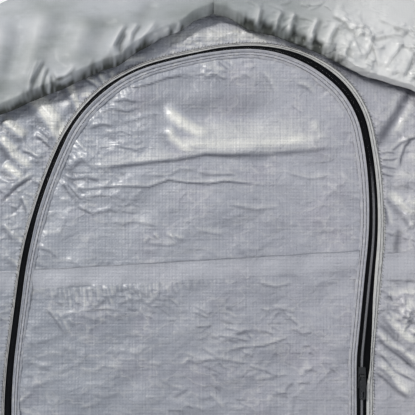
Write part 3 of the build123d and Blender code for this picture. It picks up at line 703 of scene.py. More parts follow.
def roofFilm():
    made, main, place = newMaterial("roofFilm", IOR=1.5, Coat_Roughness=0.24, Specular_IOR_Level=0.35)
    along = stretchedOf(place, (0.55, 1.0, 1.3), 0.45)
    broad = noiseOf(along, 9.0, 3.0, 0.5)
    newer = ranged(sidesOf(place)[0], 0.10, 0.24)
    mottle = noiseOf(along, 24.0, 4.0, 0.6)
    tone = blend(ranged(broad, 0.36, 0.62), filmLook["body"], filmLook["pale"])
    tone = blend(ranged(mottle, 0.48, 0.72, 0.0, 0.5), tone, filmLook["cloudy"])
    tone = blend(ranged(mottle, 0.46, 0.28, 0.0, 0.35), tone, filmLook["dullAndShade"])
    tone = blend(times(newer, 0.9), tone, filmLook["bright"])
    weave = most(*weaveOf(place, filmLook["weave"]))
    tone = blend(times(weave, 0.05), tone, filmLook["thread"])
    # the turned-in edge lies in its own shade
    folds = addNode("Attribute", attribute_name="wearAndPaintedLight").outputs["Fac"]
    tone = blend(ranged(folds, 0.0, -1.0), tone, filmLook["tuck"])
    # whitened gathers: stress whitening with a painted highlight
    tone = blend(ranged(folds, 0.0, 1.0, 0.0, 0.75), tone, filmLook["bright"])
    join(tone, main, "Base Color")
    crinkle = addNode("TexVoronoi", {"Vector": place, "Scale": 55.0}, feature="DISTANCE_TO_EDGE").outputs[0]
    patch = ranged(noiseOf(place, 9.0, 2.0), 0.48, 0.62, 0.05, 1.0)
    join(ranged(newer, 0.0, 1.0, 0.62, 0.38), main, "Roughness")
    join(ranged(newer, 0.0, 1.0, 0.05, 0.45), main, "Coat Weight")
    ridges = ridgesOf(along, (30.0, 62.0), 0.09)
    share = times(patch, ranged(newer, 0.0, 1.0, 0.35, 1.0))
    bumped(main, [(times(crinkle, share), 0.007, 0.40), (times(ridges[0], share), 0.0014, 0.6),
                  (times(ridges[1], share), 0.0007, 0.6), (noiseOf(place, 35.0), 0.003, 0.3), (weave, 0.0001, 0.4)])
    return made


def tapeFinish(name, tone, darker, roughness, pitch, depth, gloss=0.5, wornAndSheen=None):
    made, main, place = newMaterial(name, Roughness=roughness, Specular_IOR_Level=gloss)
    ribs = times(*weaveOf(place, pitch))
    grime = noiseOf(place, 45.0, 4.0, 0.6)
    colour = blend(ranged(grime, 0.4, 0.75), tone, darker)
    colour = blend(times(ribs, 0.25), colour, darker)
    if wornAndSheen:
        # painted highlight: lighter down the right leg, where the slider runs
        x, z = sidesOf(place)
        leg = times(ranged(x, 0.15, 0.20), ranged(z, 1.56, 1.62, 1.0, 0.0))
        colour = blend(leg, colour, wornAndSheen)
    join(colour, main, "Base Color")
    bumped(main, [(ribs, depth, 0.6), (grime, depth * 4, 0.4)])
    return made


bindingLook = {"grime": (0.31, 0.32, 0.355, 1), "rubbedAndSheen": (0.66, 0.65, 0.63, 1), "rib": (0.22, 0.23, 0.26, 1)}


def bindingFinish(name, weathered, fresh):
    # greyer on the left, where the weather reaches it
    made, main, place = newMaterial(name, IOR=1.48, Roughness=0.46, Coat_Weight=0.35, Coat_Roughness=0.32)
    grime = noiseOf(place, 60.0, 4.0, 0.6)
    colour = blend(ranged(sidesOf(place)[0], -0.12, 0.12), weathered, fresh)
    colour = blend(ranged(grime, 0.35, 0.8, 0.0, 0.5), colour, bindingLook["grime"])
    colour = blend(ranged(noiseOf(place, 170.0, 2.0), 0.45, 0.75, 0.0, 0.45), colour, bindingLook["rubbedAndSheen"])
    ribs = times(*weaveOf(place, sheetLook["weave"]))
    colour = blend(times(ribs, 0.18), colour, bindingLook["rib"])
    join(colour, main, "Base Color")
    bumped(main, [(noiseOf(place, 120.0, 3.0), 0.0022, 0.6), (ribs, 0.00020, 0.6)])
    return made


# darkFlake is the darkest flake's share of the tone
steelLook = {"stain": (0.28, 0.26, 0.24, 1), "darkFlake": 0.62}


def steelFinish(name, tone, roughness):
    made, main, place = newMaterial(name, Metallic=1.0, Roughness=roughness)
    flakes = addNode("TexVoronoi", {"Vector": place, "Scale": 130.0}, feature="F1").outputs["Color"]
    grain = addNode("SeparateColor", {0: flakes}).outputs[0]
    stain = noiseOf(place, 18.0, 5.0, 0.65)
    low = tuple(c * steelLook["darkFlake"] for c in tone[:3]) + (1,)
    colour = blend(times(grain, 0.6), tone, low)
    colour = blend(ranged(stain, 0.58, 0.8, 0.0, 0.6), colour, steelLook["stain"])
    join(colour, main, "Base Color")
    join(ranged(grain, 0.0, 1.0, roughness - 0.08, roughness + 0.12), main, "Roughness")
    bumped(main, [(stain, 0.0006, 0.4)])
    return made


enamelLook = {"body": (0.014, 0.015, 0.018, 1), "chipped": (0.20, 0.19, 0.18, 1)}


def enamelFinish():
    made, main, place = newMaterial("blackEnamel", Metallic=0.35, Roughness=0.3, Coat_Weight=0.3)
    wornAndSheen = noiseOf(place, 260.0, 5.0, 0.7)
    colour = blend(ranged(wornAndSheen, 0.62, 0.72, 0.0, 0.7), enamelLook["body"], enamelLook["chipped"])
    join(colour, main, "Base Color")
    join(ranged(wornAndSheen, 0.3, 0.7, 0.24, 0.42), main, "Roughness")
    bumped(main, [(wornAndSheen, 0.0002, 0.4)])
    return made


def plainFloor():
    made, main, place = newMaterial("paleFloor", Roughness=0.9)
    tone = blend(noiseOf(place, 1.5, 2.0), (0.70, 0.70, 0.69, 1), (0.73, 0.73, 0.72, 1))
    join(tone, main, "Base Color")
    return made


finish = {
    "door": wovenSheet("doorSheet", 0.7),
    "wall": wovenSheet("wallSheet", 0.9),
    "seam": wovenSheet("doubledSheet", 0.4, 0.40),
    "film": roofFilm(),
    "wallBinding": bindingFinish("creamBinding", (0.47, 0.47, 0.465, 1), (0.62, 0.615, 0.59, 1)),
    "doorBinding": bindingFinish("paleBinding", (0.375, 0.39, 0.44, 1), (0.43, 0.43, 0.475, 1)),
    # name, colour, grime, roughness, pitch of the ribs, their depth, gloss and the colour of a painted highlight on
    # the right leg
    "thread": tapeFinish("darkThread", (0.03, 0.03, 0.035, 1), (0.14, 0.14, 0.155, 1), 0.6, 0.0006, 0.00005),
    # painted shade along the lapped edge of the door's seam
    "seamEdgeShade": tapeFinish("seamEdgeShade", (0.20, 0.21, 0.24, 1), (0.34, 0.35, 0.39, 1), 0.5, 0.0011, 0.00008),
    "tape": tapeFinish("blackTape", (0.004, 0.0042, 0.005, 1), (0.008, 0.0085, 0.011, 1), 0.8, 0.0008, 0.00008, 0.04),
    "coil": tapeFinish("blackCoil", (0.005, 0.0055, 0.007, 1), (0.010, 0.011, 0.014, 1), 0.7, 0.0016, 0.00005, 0.06),
    "chain": tapeFinish("chainSheen", (0.006, 0.0065, 0.008, 1), (0.012, 0.013, 0.016, 1), 0.5, 0.0016, 0.00005,
                        0.08, (0.30, 0.30, 0.32, 1)),
    "tube": steelFinish("galvanisedTube", (0.62, 0.64, 0.66, 1), 0.36),
    "socket": steelFinish("zincSocket", (0.52, 0.53, 0.55, 1), 0.42),
    "enamel": enamelFinish(),
    "floor": plainFloor(),
}


# Mesh helpers

def addMesh(name, points, faces, finishes, ofFace=None, smooth=True, wearAndPaintedLight=None):
    # a share for each point that the sheet and film finishes read: whitening and painted highlight, or painted shade
    mesh = bpy.data.meshes.new(name)
    mesh.from_pydata(np.asarray(points).tolist(), [], [list(f) for f in np.asarray(faces).tolist()])
    for each in finishes:
        mesh.materials.append(finish[each])
    if ofFace is not None:
        mesh.polygons.foreach_set("material_index", np.asarray(ofFace, dtype=np.int32))
    mesh.polygons.foreach_set("use_smooth", [smooth] * len(mesh.polygons))
    if wearAndPaintedLight is not None:
        shares = mesh.attributes.new("wearAndPaintedLight", "FLOAT", "POINT").data
        shares.foreach_set("value", np.asarray(wearAndPaintedLight, dtype=np.float32))
    mesh.update()
    made = bpy.data.objects.new(name, mesh)
    bpy.context.scene.collection.objects.link(made)
    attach(made, "wall")
    return made


def gridFaces(rows, columns):
    a = np.arange(rows * columns).reshape(rows, columns)
    return np.stack([a[:-1, :-1], a[:-1, 1:], a[1:, 1:], a[1:, :-1]], -1).reshape(-1, 4)


def lines(*parts):
    # grid lines: (start, end, step) parts that follow each other
    made = []
    for start, end, step in parts:
        count = max(1, round((end - start) / step))
        made.append(np.linspace(start, end, count + 1)[:-1])
    return np.append(np.concatenate(made), parts[-1][1])


def clothPiece(name, x, z, side):
    # a sheet over the grid x, z; side is 1 for the wall and -1 for the door
    shape = x.shape
    x, z = x.ravel(), z.ravel()
    s, d = toZip(x, z)
    outside = side * d < wallLines["edge"]
    faces = gridFaces(*shape)
    faces = faces[~outside[faces].all(1)]
    nearX, nearZ = zipAt(s, side * wallLines["edge"])
    x, z = np.where(outside, nearX, x), np.where(outside, nearZ, z)
    height, wearAndPaintedLight = clothShape(x, z, doorFolds if side < 0 else wallFolds)
    y = -wallLines["sheet"] - height
    used = np.unique(faces)
    fresh = np.full(x.size, -1)
    fresh[used] = np.arange(used.size)
    points = np.stack([x, y, z], 1)[used]
    return addMesh(name, points, fresh[faces][:, ::-1], ["door" if side < 0 else "wall"],
                   wearAndPaintedLight=wearAndPaintedLight[used])


def sheetTop(x):
    over = wallLines["sheetOver"] / math.cos(math.radians(wallLines["pitch"]))
    return wallLines["ridge"] + over - abs(x) * slopeTan


# Steps of the cloth's grids: away from the creases that show, and among them. A side wall's rows are
# shares of its height.
clothSteps = {"gable": (0.011, 0.0021), "side": (0.009, 0.0022), "sideRows": (0.0075, 0.0016),
              "door": (0.0115, 0.0022)}

edgeX, fineFrom, fineTo = wallLines["halfWidth"], wallLines["fineFrom"], wallLines["fineTo"]
coarse, fine = clothSteps["gable"]
wallX = lines((-edgeX, fineFrom, coarse), (fineFrom, fineTo, fine), (fineTo, edgeX, coarse))
up = lines((0, 1, 1 / 255))[:, None]
gableX = np.broadcast_to(wallX, (up.size, wallX.size))
gableZ = seamMiddle(gableX) * (1 - up) + sheetTop(gableX) * up
gableCloth = clothPiece("gableCloth", gableX, gableZ, 1)
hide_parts("gable_panel")

coarse, fine = clothSteps["sideRows"]
rowZ = lines((0, 0.85, coarse), (0.85, 1, fine))[:, None]
coarse, fine = clothSteps["side"]
sideCloths = []
for sideName, columns in (("left", lines((-edgeX, fineFrom, coarse), (fineFrom, -0.25, fine))),
                          ("right", lines((0.22, fineTo, fine), (fineTo, edgeX, coarse)))):
    flatX = np.broadcast_to(columns, (rowZ.size, columns.size))
    flatZ = wallLines["bottom"] * (1 - rowZ) + seamMiddle(flatX) * rowZ
    sideCloths.append(clothPiece(sideName + "WallCloth", flatX, flatZ, 1))
    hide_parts(sideName + "_wall_panel")

coarse, fine = clothSteps["door"]
doorRows = lines((wallLines["doorBottom"], 1.23, coarse), (1.23, 1.80, fine))[:, None]
doorColumns = lines((-0.335, 0.26, fine))
doorCloth = clothPiece("doorCloth", np.broadcast_to(doorColumns, (doorRows.size, doorColumns.size)),
                       np.broadcast_to(doorRows, (doorRows.size, doorColumns.size)), -1)
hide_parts("door_leaf")
print("wall and door cloth laid")


# Zip, bindings and stitching

def strip(name, s, rows, finishes):
    # rows are (out, lift) pairs along s, in metres; lift is forward of the sheet's face
    points = []
    for out, lift in rows:
        x, z = zipAt(s, np.broadcast_to(out, s.shape))
        points.append(np.stack([x, -wallLines["sewn"] - baseHeight(x, z) - lift, z], 1))
    return addMesh(name, np.stack(points).reshape(-1, 3), gridFaces(len(rows), s.size), finishes)


def zipStations(bottom):
    return lines((zipEnd(-1, bottom), -0.72, 0.006), (-0.72, 0.75, 0.0025), (0.75, zipEnd(1, bottom), 0.006))


tapeS = zipStations(zipLine["tapeBottom"])


def tapeReach(far):
    return np.minimum(zipLook["tape"], far - zipLook["tapeShort"])


def overZip(out, far):
    # lift of a binding over the coil and the tape beneath it
    tape = tapeReach(far)
    return 0.0004 + 0.0010 * (1 - ease((out - tape) / 0.0012)) + 0.0026 * (1 - ease((out - 0.0042) / 0.0030))


def bindingRise(share):
    # the doubled strip is thinner at its far edge
    return 0.0007 - 0.0006 * share ** 6


# what is sewn to the wall and to the door
sewnOn = {"wall": [], "door": []}
for sideName, side in (("wall", 1), ("door", -1)):
    edge = zipSpan(sideName + "Near", tapeS)
    wobble = 0.00035 * waveSum(makeWaves(6, 0.02, 0.08), tapeS, 0 * tapeS)
    far = np.minimum(zipSpan(sideName + "Far", tapeS) + wobble, zipLook["farthest"])
    lift = overZip(edge, far)
    rows = [(edge + 0.0004, lift - 0.0005), (edge, lift + 0.0001), (edge + 0.0003, lift + 0.0006)]
    crimp = makeWaves(12, 0.004, 0.014)
    for t in np.linspace(0.1, 1, 9):
        out = edge + (far - edge) * t
        crimped = 0.00022 * waveSum(crimp, tapeS, out) * math.sin(2.8 * t)
        rows.append((out, overZip(out, far) + bindingRise(t) + crimped))
    rows.append((far + 0.0001, 0.0002 + 0 * tapeS))
    rows = [(side * out, lift) for out, lift in rows]
    if side > 0:
        rows = rows[::-1]
    made = strip(sideName + "Binding", tapeS, rows, [sideName + "Binding"])
    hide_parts(sideName + "_binding")
    sewnOn[sideName].append(made)
    reach = tapeReach(far)
    rows = [(0.0001, 0.0002), (0.0002, 0.0010), (0.0028, 0.0011), (reach * 0.6, 0.0010), (reach - 0.0005, 0.0009),
            (reach, 0.0002)]
    rows = [(side * out, lift + 0 * tapeS) for out, lift in rows][::-side]
    tape = strip(sideName + "ZipTape", tapeS, rows, ["tape"])
    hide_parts(sideName + "_zip_tape")
    sewnOn[sideName].append(tape)


def blocks(name, s, out, half, depth, lift, finishes, skew=0.0, taper=0.7):
    # one small bevelled block for each s and out: half is along the zip and across it
    n = s.size
    ring = np.array([[-1, -1], [1, -1], [1, 1], [-1, 1]])
    points = []
    for level, grow in ((0.0, 1.0), (0.6, 1.0), (1.0, taper)):
        for a, b in ring * grow:
            x, z = zipAt(s + a * half[0] + skew * b, out + b * half[1])
            y = -wallLines["sewn"] - baseHeight(x, z) - lift - depth * level
            points.append(np.stack([x, y, z], 1))
    points = np.stack(points, 1).reshape(-1, 3)
    sides = [(r + i, r + (i + 1) % 4, r + 4 + (i + 1) % 4, r + 4 + i) for r in (0, 4) for i in range(4)]
    one = np.array(sides + [(8, 9, 10, 11)])
    faces = (one[None] + 12 * np.arange(n)[:, None, None]).reshape(-1, 4)
    return addMesh(name, points, faces, finishes, smooth=False)


for sideName, side, start in (("wall", 1, 0.0), ("door", -1, 0.5)):
    pitch = zipLook["toothPitch"]
    s = np.arange(zipEnd(-1, zipLine["coilBottom"]) + pitch * start, zipEnd(1, zipLine["coilBottom"]), pitch)
    out = side * np.full(s.size, zipLook["tooth"][1])
    made = blocks(sideName + "ZipCoil", s, out, zipLook["tooth"], zipLook["toothDeep"], zipLook["toothLift"],
                  ["coil"], 0.0003)
    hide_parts(sideName + "_zip_coil")
    # heads of the teeth, where the two coils hook into each other
    out = side * np.full(s.size, 0.0008)
    heads = blocks(sideName + "CoilHeads", s, out, zipLook["toothHead"], 0.0004, zipLook["headLift"], ["chain"])
    sewnOn[sideName] += [made, heads]

for sideName, side in (("wall", 1), ("door", -1)):
    s, out, lift = [], [], []
    for share in zipLook["stitchRows"][sideName]:
        row = np.arange(tapeS[0] + 0.004, tapeS[-1] - 0.004, zipLook["stitchPitch"])
        row = row + draw.uniform(-0.0003, 0.0003, row.size)
        edge, far = zipSpan(sideName + "Near", row), zipSpan(sideName + "Far", row)
        place = edge + (far - edge) * share + draw.uniform(-0.0002, 0.0002, row.size)
        s.append(row)
        out.append(side * place)
        lift.append(overZip(place, far) + bindingRise(share) + 0.0002)
    s, out, lift = np.concatenate(s), np.concatenate(out), np.concatenate(lift)
    sewnOn[sideName].append(blocks(sideName + "Stitches", s, out, zipLook["stitch"], zipLook["threadDeep"], lift,
                                   ["thread"], 0.0, 0.6))
# whip stitches over the wall binding's outer edge
row = np.arange(tapeS[0] + 0.004, tapeS[-1] - 0.004, zipLook["edgeStitchPitch"])
row = row + draw.uniform(-0.0012, 0.0012, row.size)
out = zipSpan("wallFar", row) + draw.uniform(-0.0008, 0.0010, row.size)
sewnOn["wall"].append(blocks("edgeStitches", row, out, zipLook["edgeStitch"], zipLook["threadDeep"], 0.0010,
                             ["thread"], 0.0007, 0.6))
print("zip and bindings laid")


# Lapped seam across the wall and the door

seamLook = {"roughHeight": 1.46, "tries": 3, "step": 0.0025, "rightHalf": 0.020, "rightSag": 0.0125,
            "hemHalf": 0.0125}


def seamBand(name, start, end, middle, half, creases, topLine):
    # start and end are functions of height, so the band can stop along the zip's slanted sides;
    # topLine is 1 where the band's upper edge shows as a darker line, painted shade under the lapped edge
    rows = [(-half, 0.0001), (-half + 0.0035, 0.0006), (-half * 0.4, 0.0011), (half * 0.3, 0.0012),
            (half - 0.0014, 0.0014), (half - 0.0008, 0.0017), (half, 0.0017), (half + 0.0002, 0.0004)]
    first, last = start(seamLook["roughHeight"]), end(seamLook["roughHeight"])
    t = lines((0, 1, seamLook["step"] / abs(last - first)))
    points = []
    for up, lift in rows:
        x = first + (last - first) * t
        for _ in range(seamLook["tries"]):
            z = middle(x) + up + 0.0003 * np.sin(90 * x)
            x = start(z[0]) + (end(z[-1]) - start(z[0])) * t
        points.append(np.stack([x, -wallLines["sheet"] - clothShape(x, z, creases)[0] - lift, z], 1))
    ofFace = np.repeat([0, 0, 0, 0, *[topLine] * 3], t.size - 1)
    return addMesh(name, np.stack(points).reshape(-1, 3), gridFaces(len(rows), t.size), ["seam", "seamEdgeShade"],
                   ofFace)


def zipSideX(side, z, out):
    # x of the point at height z that is out from the zip's line
    s = np.linspace(0, 2.0, 4000) * side       # both legs are shorter than this
    x, height = zipAt(s, out)
    return float(np.interp(-z, -height, x))


def besideZip(side, key, sign):
    # x along the far edge of a binding, as a function of height
    def edge(z):
        s = zipEnd(side, z)
        return zipSideX(side, z, sign * (float(zipSpan(key, s)) - 0.0008))
    return edge


def rightMiddle(x):
    # right of the door the band sags and spreads
    return seamMiddle(x) - seamLook["rightSag"] * (1 - ease((x - 0.33) / 0.1))


leftIn, rightIn = besideZip(-1, "doorFar", -1), besideZip(1, "doorFar", -1)
leftOut, rightOut = besideZip(-1, "wallFar", 1), besideZip(1, "wallFar", 1)
half = wallLines["seamHalf"]
leftSeam = seamBand("leftWallSeam", lambda z: -edgeX, leftOut, seamMiddle, half, wallFolds, 0)
doorSeam = seamBand("doorSeam", leftIn, rightIn, seamMiddle, half, doorFolds, 1)
rightSeam = seamBand("rightWallSeam", rightOut, lambda z: edgeX, rightMiddle, seamLook["rightHalf"], wallFolds, 0)
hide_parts("left_wall_seam")
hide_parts("door_seam")
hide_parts("right_wall_seam")

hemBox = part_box("door_hem")
hemMiddle = (hemBox[0][2] + hemBox[1][2]) / 2
doorHem = seamBand("doorHem", lambda z: hemBox[0][0], lambda z: hemBox[1][0], lambda x: np.full(x.shape, hemMiddle),
                   seamLook["hemHalf"], doorFolds, 0)
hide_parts("door_hem")
print("seams laid")


# Roof cover: over the rafters and down in front, with a gathered edge

coverLook = {
    "hem": [(-1.02, 0.142), (-0.6, 0.150), (-0.318, 0.1615), (-0.2, 0.1633), (-0.148, 0.164), (-0.097, 0.157),
            (-0.045, 0.1532), (0.004, 0.151), (0.0445, 0.1535), (0.097, 0.1451), (0.1565, 0.1394), (0.195, 0.1431),
            (0.234, 0.1437), (0.301, 0.1333), (0.6, 0.140), (1.02, 0.142)],
    "back": 0.150,             # the film runs forward to the turn, then falls in front
    "over": 0.0166,
    "turnAt": -0.014,
    "turn": 0.010,
    "front": 0.0245,
    "tuck": 0.014,
    "flare": 0.021,
    "facet": 0.0026,
    "billow": 0.0022,
    # how dark the turned-in edge is, by place along the wall
    "shade": [(-0.36, 1), (-0.235, 1), (-0.225, 0.6), (-0.205, 0.6), (-0.195, 1), (-0.145, 1), (-0.13, 0.7),
              (-0.115, 1), (-0.10, 0.8), (-0.09, 0.4), (-0.01, 0.3), (0.005, 0.6), (0.03, 0.45), (0.046, 1),
              (0.060, 0.9), (0.066, 0.4), (0.073, 1), (0.092, 1), (0.100, 0.35), (0.112, 1), (0.140, 1),
              (0.147, 0.4), (0.153, 1), (0.166, 0.9), (0.172, 0.35), (0.179, 0.9), (0.192, 0.8), (0.205, 0)],
}


coverFoldLines = [
    # broad hanging folds with painted shade in their hollows, then gathers left of the ridge
    ([(-352, 1716), (-330, 1760), (-322, 1806), (-330, 1850)], 7, 20, 12, 0.35, 0.15, 1),
    ([(-296, 1728), (-276, 1780), (-262, 1830), (-250, 1866)], 6, 16, 12, 0.45, 0.15, 1),
    ([(-226, 1766), (-206, 1800), (-186, 1846)], 6, 13, 15, 0.4, 0.2, 1),
    ([(-190, 1776), (-172, 1806), (-160, 1850)], -4.5, 12, 12, 0, 0.22, 1),
    ([(-120, 1812), (-108, 1840), (-90, 1870)], -3.5, 9, 9, 0, 0.25, 1),
    ([(-306, 1744), (-296, 1790), (-290, 1830)], -4, 10, 10, 0, 0.2, 1),
    ([(-256, 1781), (-263, 1765), (-274, 1742), (-280, 1722)], 3.6, 4, 2.6, 0.7, 0.7),
    ([(-263, 1779), (-269, 1762), (-278, 1735)], 2.8, 3, 2.2, 0.6, 0.7),
    ([(-251, 1768), (-257, 1748), (-262, 1726)], 3, 3.2, 2.2, 0.8, 0.7),
    ([(-242, 1762), (-234, 1750), (-222, 1753), (-206, 1768)], 3, 4, 2.4, 0.7, 0.6),
    ([(-248, 1755), (-246, 1738), (-252, 1722)], 2.8, 3, 2.2, 0.8, 0.7),
    ([(-318, 1700), (-300, 1712), (-280, 1722)], 3, 6, 4, 0.4, 0.4),
    ([(-240, 1740), (-226, 1742), (-210, 1752)], 3, 3, 3, 0.5, 0.6),
    ([(-146, 1786), (-152, 1796), (-144, 1812), (-132, 1832)], 4.6, 4.5, 3, 0.9, 0.7, 0.2),
    ([(-140, 1782), (-140, 1800), (-130, 1818)], -6, 3.5, 3.5, 0, 0.75),
    ([(-127, 1796), (-124, 1814), (-112, 1834)], 4.6, 5, 3, 0.9, 0.7, 0.2),
    ([(-122, 1786), (-110, 1804), (-96, 1820), (-84, 1836)], 4.6, 5, 4, 0.9, 0.5),
    ([(-120, 1790), (-112, 1796), (-104, 1806)], -4.6, 3, 3, 0, 0.6),
    ([(-104, 1800), (-96, 1808), (-80, 1814), (-62, 1822)], 4.6, 5, 4, 0.9, 0.6, 0.3),
    ([(-96, 1798), (-88, 1806), (-82, 1816)], 4, 2.6, 2.5, 0.9, 0.9),
    ([(-88, 1802), (-78, 1808), (-70, 1812)], 4, 2.6, 2.5, 0.8, 0.9),
    ([(-80, 1806), (-72, 1814), (-66, 1826)], 4, 2.6, 2.5, 1, 0.9),
    ([(-70, 1808), (-60, 1814), (-52, 1822)], 4, 2.6, 2.5, 0.9, 0.9),
    ([(-60, 1814), (-54, 1822), (-50, 1834)], 4, 2.6, 2.5, 1, 0.9),
    ([(-50, 1818), (-42, 1824), (-34, 1832)], 3.6, 2.6, 2.5, 0.8, 0.9),
    ([(-30, 1828), (-18, 1836), (-8, 1846)], 2.8, 4, 3, 0.5, 0.6),
    # pockets darkened with painted shade, and ridges, right of the ridge
    ([(44, 1834), (62, 1828)], -7, 5, 5, 0, 0.9), ([(72, 1830), (90, 1820)], -8, 5, 5, 0, 0.9),
    ([(64, 1824), (66, 1838), (70, 1854)], 5, 4, 3, 0.8, 0.6),
    ([(92, 1816), (94, 1832), (102, 1850)], 5, 4, 3, 0.8, 0.6), ([(116, 1818), (142, 1806)], -9, 6, 6, 0, 0.9),
    ([(112, 1812), (114, 1828), (122, 1848)], 5, 4, 4, 0.8, 0.6), ([(148, 1806), (166, 1796)], -9, 5, 5, 0, 0.9),
    ([(144, 1800), (148, 1820), (158, 1842)], 5.4, 4, 4, 0.8, 0.6), ([(178, 1794), (196, 1784)], -8, 5, 5, 0, 0.8),
    ([(168, 1790), (174, 1812), (188, 1838)], 3.6, 5, 4, 0.9, 0.6),
    ([(194, 1778), (200, 1796), (212, 1818)], 3.9, 12, 2.4, 0.9, 0.6),
    ([(208, 1812), (214, 1796), (224, 1774)], 3.6, 2.2, 10, 0.9, 0.6),
    ([(222, 1774), (232, 1790), (238, 1812)], 3.9, 12, 2.4, 1, 0.6),
    ([(238, 1802), (246, 1786), (252, 1764)], 3.2, 12, 2.4, 0.8, 0.6),
    ([(254, 1760), (266, 1780), (284, 1802)], 3.9, 13, 2.6, 1, 0.6),
    ([(262, 1752), (280, 1762), (298, 1766)], 3.2, 12, 2.4, 0.9, 0.6),
    ([(284, 1748), (292, 1768), (302, 1792)], 3.6, 12, 2.4, 0.9, 0.6), ([(276, 1746), (306, 1740)], -2, 3, 3, 0, 0.5),
    ([(296, 1802), (308, 1790), (320, 1774)], 3.2, 7, 5, 0.8, 0.6),
    ([(200, 1836), (220, 1822), (246, 1818), (280, 1824)], 3.2, 9, 6, 0.9, 0.5, 0.4),
    ([(180, 1850), (200, 1838), (214, 1820)], 3.2, 8, 4, 0.9, 0.7, 0.3),
    ([(250, 1846), (276, 1832), (306, 1826)], 2.9, 9, 5, 0.8, 0.6, 0.3),
]


def coverCreases():
    # gathers and pockets near the edge; a pocket's height is below nothing, and it is darkened with painted shade
    made = [fold(*row) for row in coverFoldLines]
    # a few gathers in each place along the rest of the hem
    for x in (*np.arange(-960, -330, 105), *np.arange(360, 980, 95)):
        x = x + draw.uniform(-25, 25)
        z = 2000 - abs(x) * slopeTan - 1000 * readAt(coverLook["hem"], x / 1000)
        for lean in draw.uniform(-0.7, 0.7, 3):
            reach = draw.uniform(28, 60)
            made.append(fold([(x + 6 * lean, z - 2), (x + reach * math.sin(lean), z + reach * math.cos(lean))],
                             draw.uniform(3.5, 5.5), draw.uniform(3, 5), draw.uniform(3, 5), 0.5, 0.5))
    return made


coverFolds = coverCreases() + smallCreases([(190, 335, 1745, 1832, 90, 2.8), (50, 200, 1800, 1862, 36, 1.8)])
billowWaves = makeWaves(10, 0.10, 0.35)
facetWaves = makeWaves(12, 0.030, 0.11)
tuckWaves = makeWaves(10, 0.005, 0.03)


def coverRows(x, axis, fall, tuck):
    # y, z and how loose the film hangs, row by row from the back of the roof to the tucked edge
    over, front, flare = coverLook["over"], coverLook["front"], coverLook["flare"]
    rows = [(np.full(x.size, y), axis + over, 0.3) for y in np.linspace(coverLook["back"], coverLook["turnAt"], 16)]
    for turn in np.radians([25, 50, 75]):
        rows.append((coverLook["turnAt"] - coverLook["turn"] * math.sin(turn) + 0 * x,
                     axis + over - coverLook["turn"] * (1 - math.cos(turn)), 0.3))
    start = -0.006
    for t in np.linspace(0, 1, 74):
        rows.append((-front - flare * t ** 0.8 + 0 * x, axis - (start + (fall - tuck - start) * t), ease(t * 4)))
    for t in np.linspace(0.12, 1, 8):
        rows.append((-front - flare + 0.014 * t ** 1.3 + 0 * x, axis - fall + tuck * (1 - t), 1.0 - 0.45 * t))
    rows.append((-front - flare + 0.0145 + 0 * x, axis - fall + 0.006, 0.4))
    return rows


def tuckShade(x, above, tuck, lifts):
    # the tuck lies in shade, but a gather that runs over it doesn't; above is the height over the hem
    reach = tuck * np.clip(1.15 + 0.30 * waveSum(tuckWaves, 0.4 * x + 0 * above, 0.2 * above), 0.7, 1.7)
    shade = 1 - 0.35 * ease(above / 0.008) - 0.65 * ease((above - 0.25 * reach) / reach)
    shade *= 1 - 0.9 * ease((lifts - 0.05) / 0.9)
    uneven = np.clip(0.85 + 0.22 * waveSum(tuckWaves, x + 0 * above, 0.3 * above), 0.2, 1)
    shade *= readAt(coverLook["shade"], x) * uneven
    shade[:16] = 0                               # the rows on the roof
    return shade


def coverPiece(name, side, node):
    x = lines((0.0, -fineFrom, 0.0017), (-fineFrom, edgeX, 0.008)) * side
    fall = readAt(coverLook["hem"], x) + 0.0012 * waveSum(makeWaves(6, 0.03, 0.09), x, 0 * x)
    axis = wallLines["ridge"] - abs(x) * slopeTan
    # the tuck is narrower right of the gathers, where the film hangs open
    tuck = coverLook["tuck"] - 0.009 * ease((x - 0.17) / 0.05)
    rows = coverRows(x, axis, fall, tuck)
    points, lifts = [], []
    for y, z, loose in rows:
        billow = coverLook["billow"] * waveSum(billowWaves, x, z + 0.4 * y) * loose
        hangs = loose > 0.31
        folds, wearAndPaintedLight = foldShape(coverFolds, x, z) if hangs else (0 * x, 0 * x)
        lifts.append(wearAndPaintedLight)
        above = z - (axis - fall)
        crushed = (0.12 + ease((x - 0.17) / 0.06)) * (1 - ease((above - 0.03) / 0.09))
        # broad facets that meet in sharp ridges
        facets = coverLook["facet"] * crushed * (0.5 - np.minimum(abs(waveSum(facetWaves, x, z)), 1.6)) * loose
        folds = folds * loose + facets
        points.append(np.stack([x, y - billow * 0.7 - folds, z] if hangs else [x, y, z + abs(billow)], 1))
    lifts = np.array(lifts)
    above = np.array([row[1] - (axis - fall) for row in rows])
    # painted light on the film: whitened gathers with a painted highlight, painted shade in the pockets and the tuck,
    # and a painted highlight along the hem's edge right of the gathers
    wearAndPaintedLight = np.where(lifts > 0, lifts * (0.55 + 0.45 * (x > 0.1)), 0.8 * lifts)
    wearAndPaintedLight -= 1.2 * tuckShade(x, above, tuck, lifts)
    wearAndPaintedLight += 0.6 * (1 - ease((above - 0.010) / 0.004)) * ease((x - 0.19) / 0.02)
    faces = gridFaces(len(rows), x.size)
    made = addMesh(name, np.stack(points).reshape(-1, 3), faces if side < 0 else faces[:, ::-1], ["film"],
                   wearAndPaintedLight=np.clip(wearAndPaintedLight, -1, 1).ravel())
    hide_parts(node, node.replace("roof_cover", "cover_bead"))
    return made


leftCover = coverPiece("leftRoofCover", -1, "left_roof_cover")
rightCover = coverPiece("rightRoofCover", 1, "right_roof_cover")

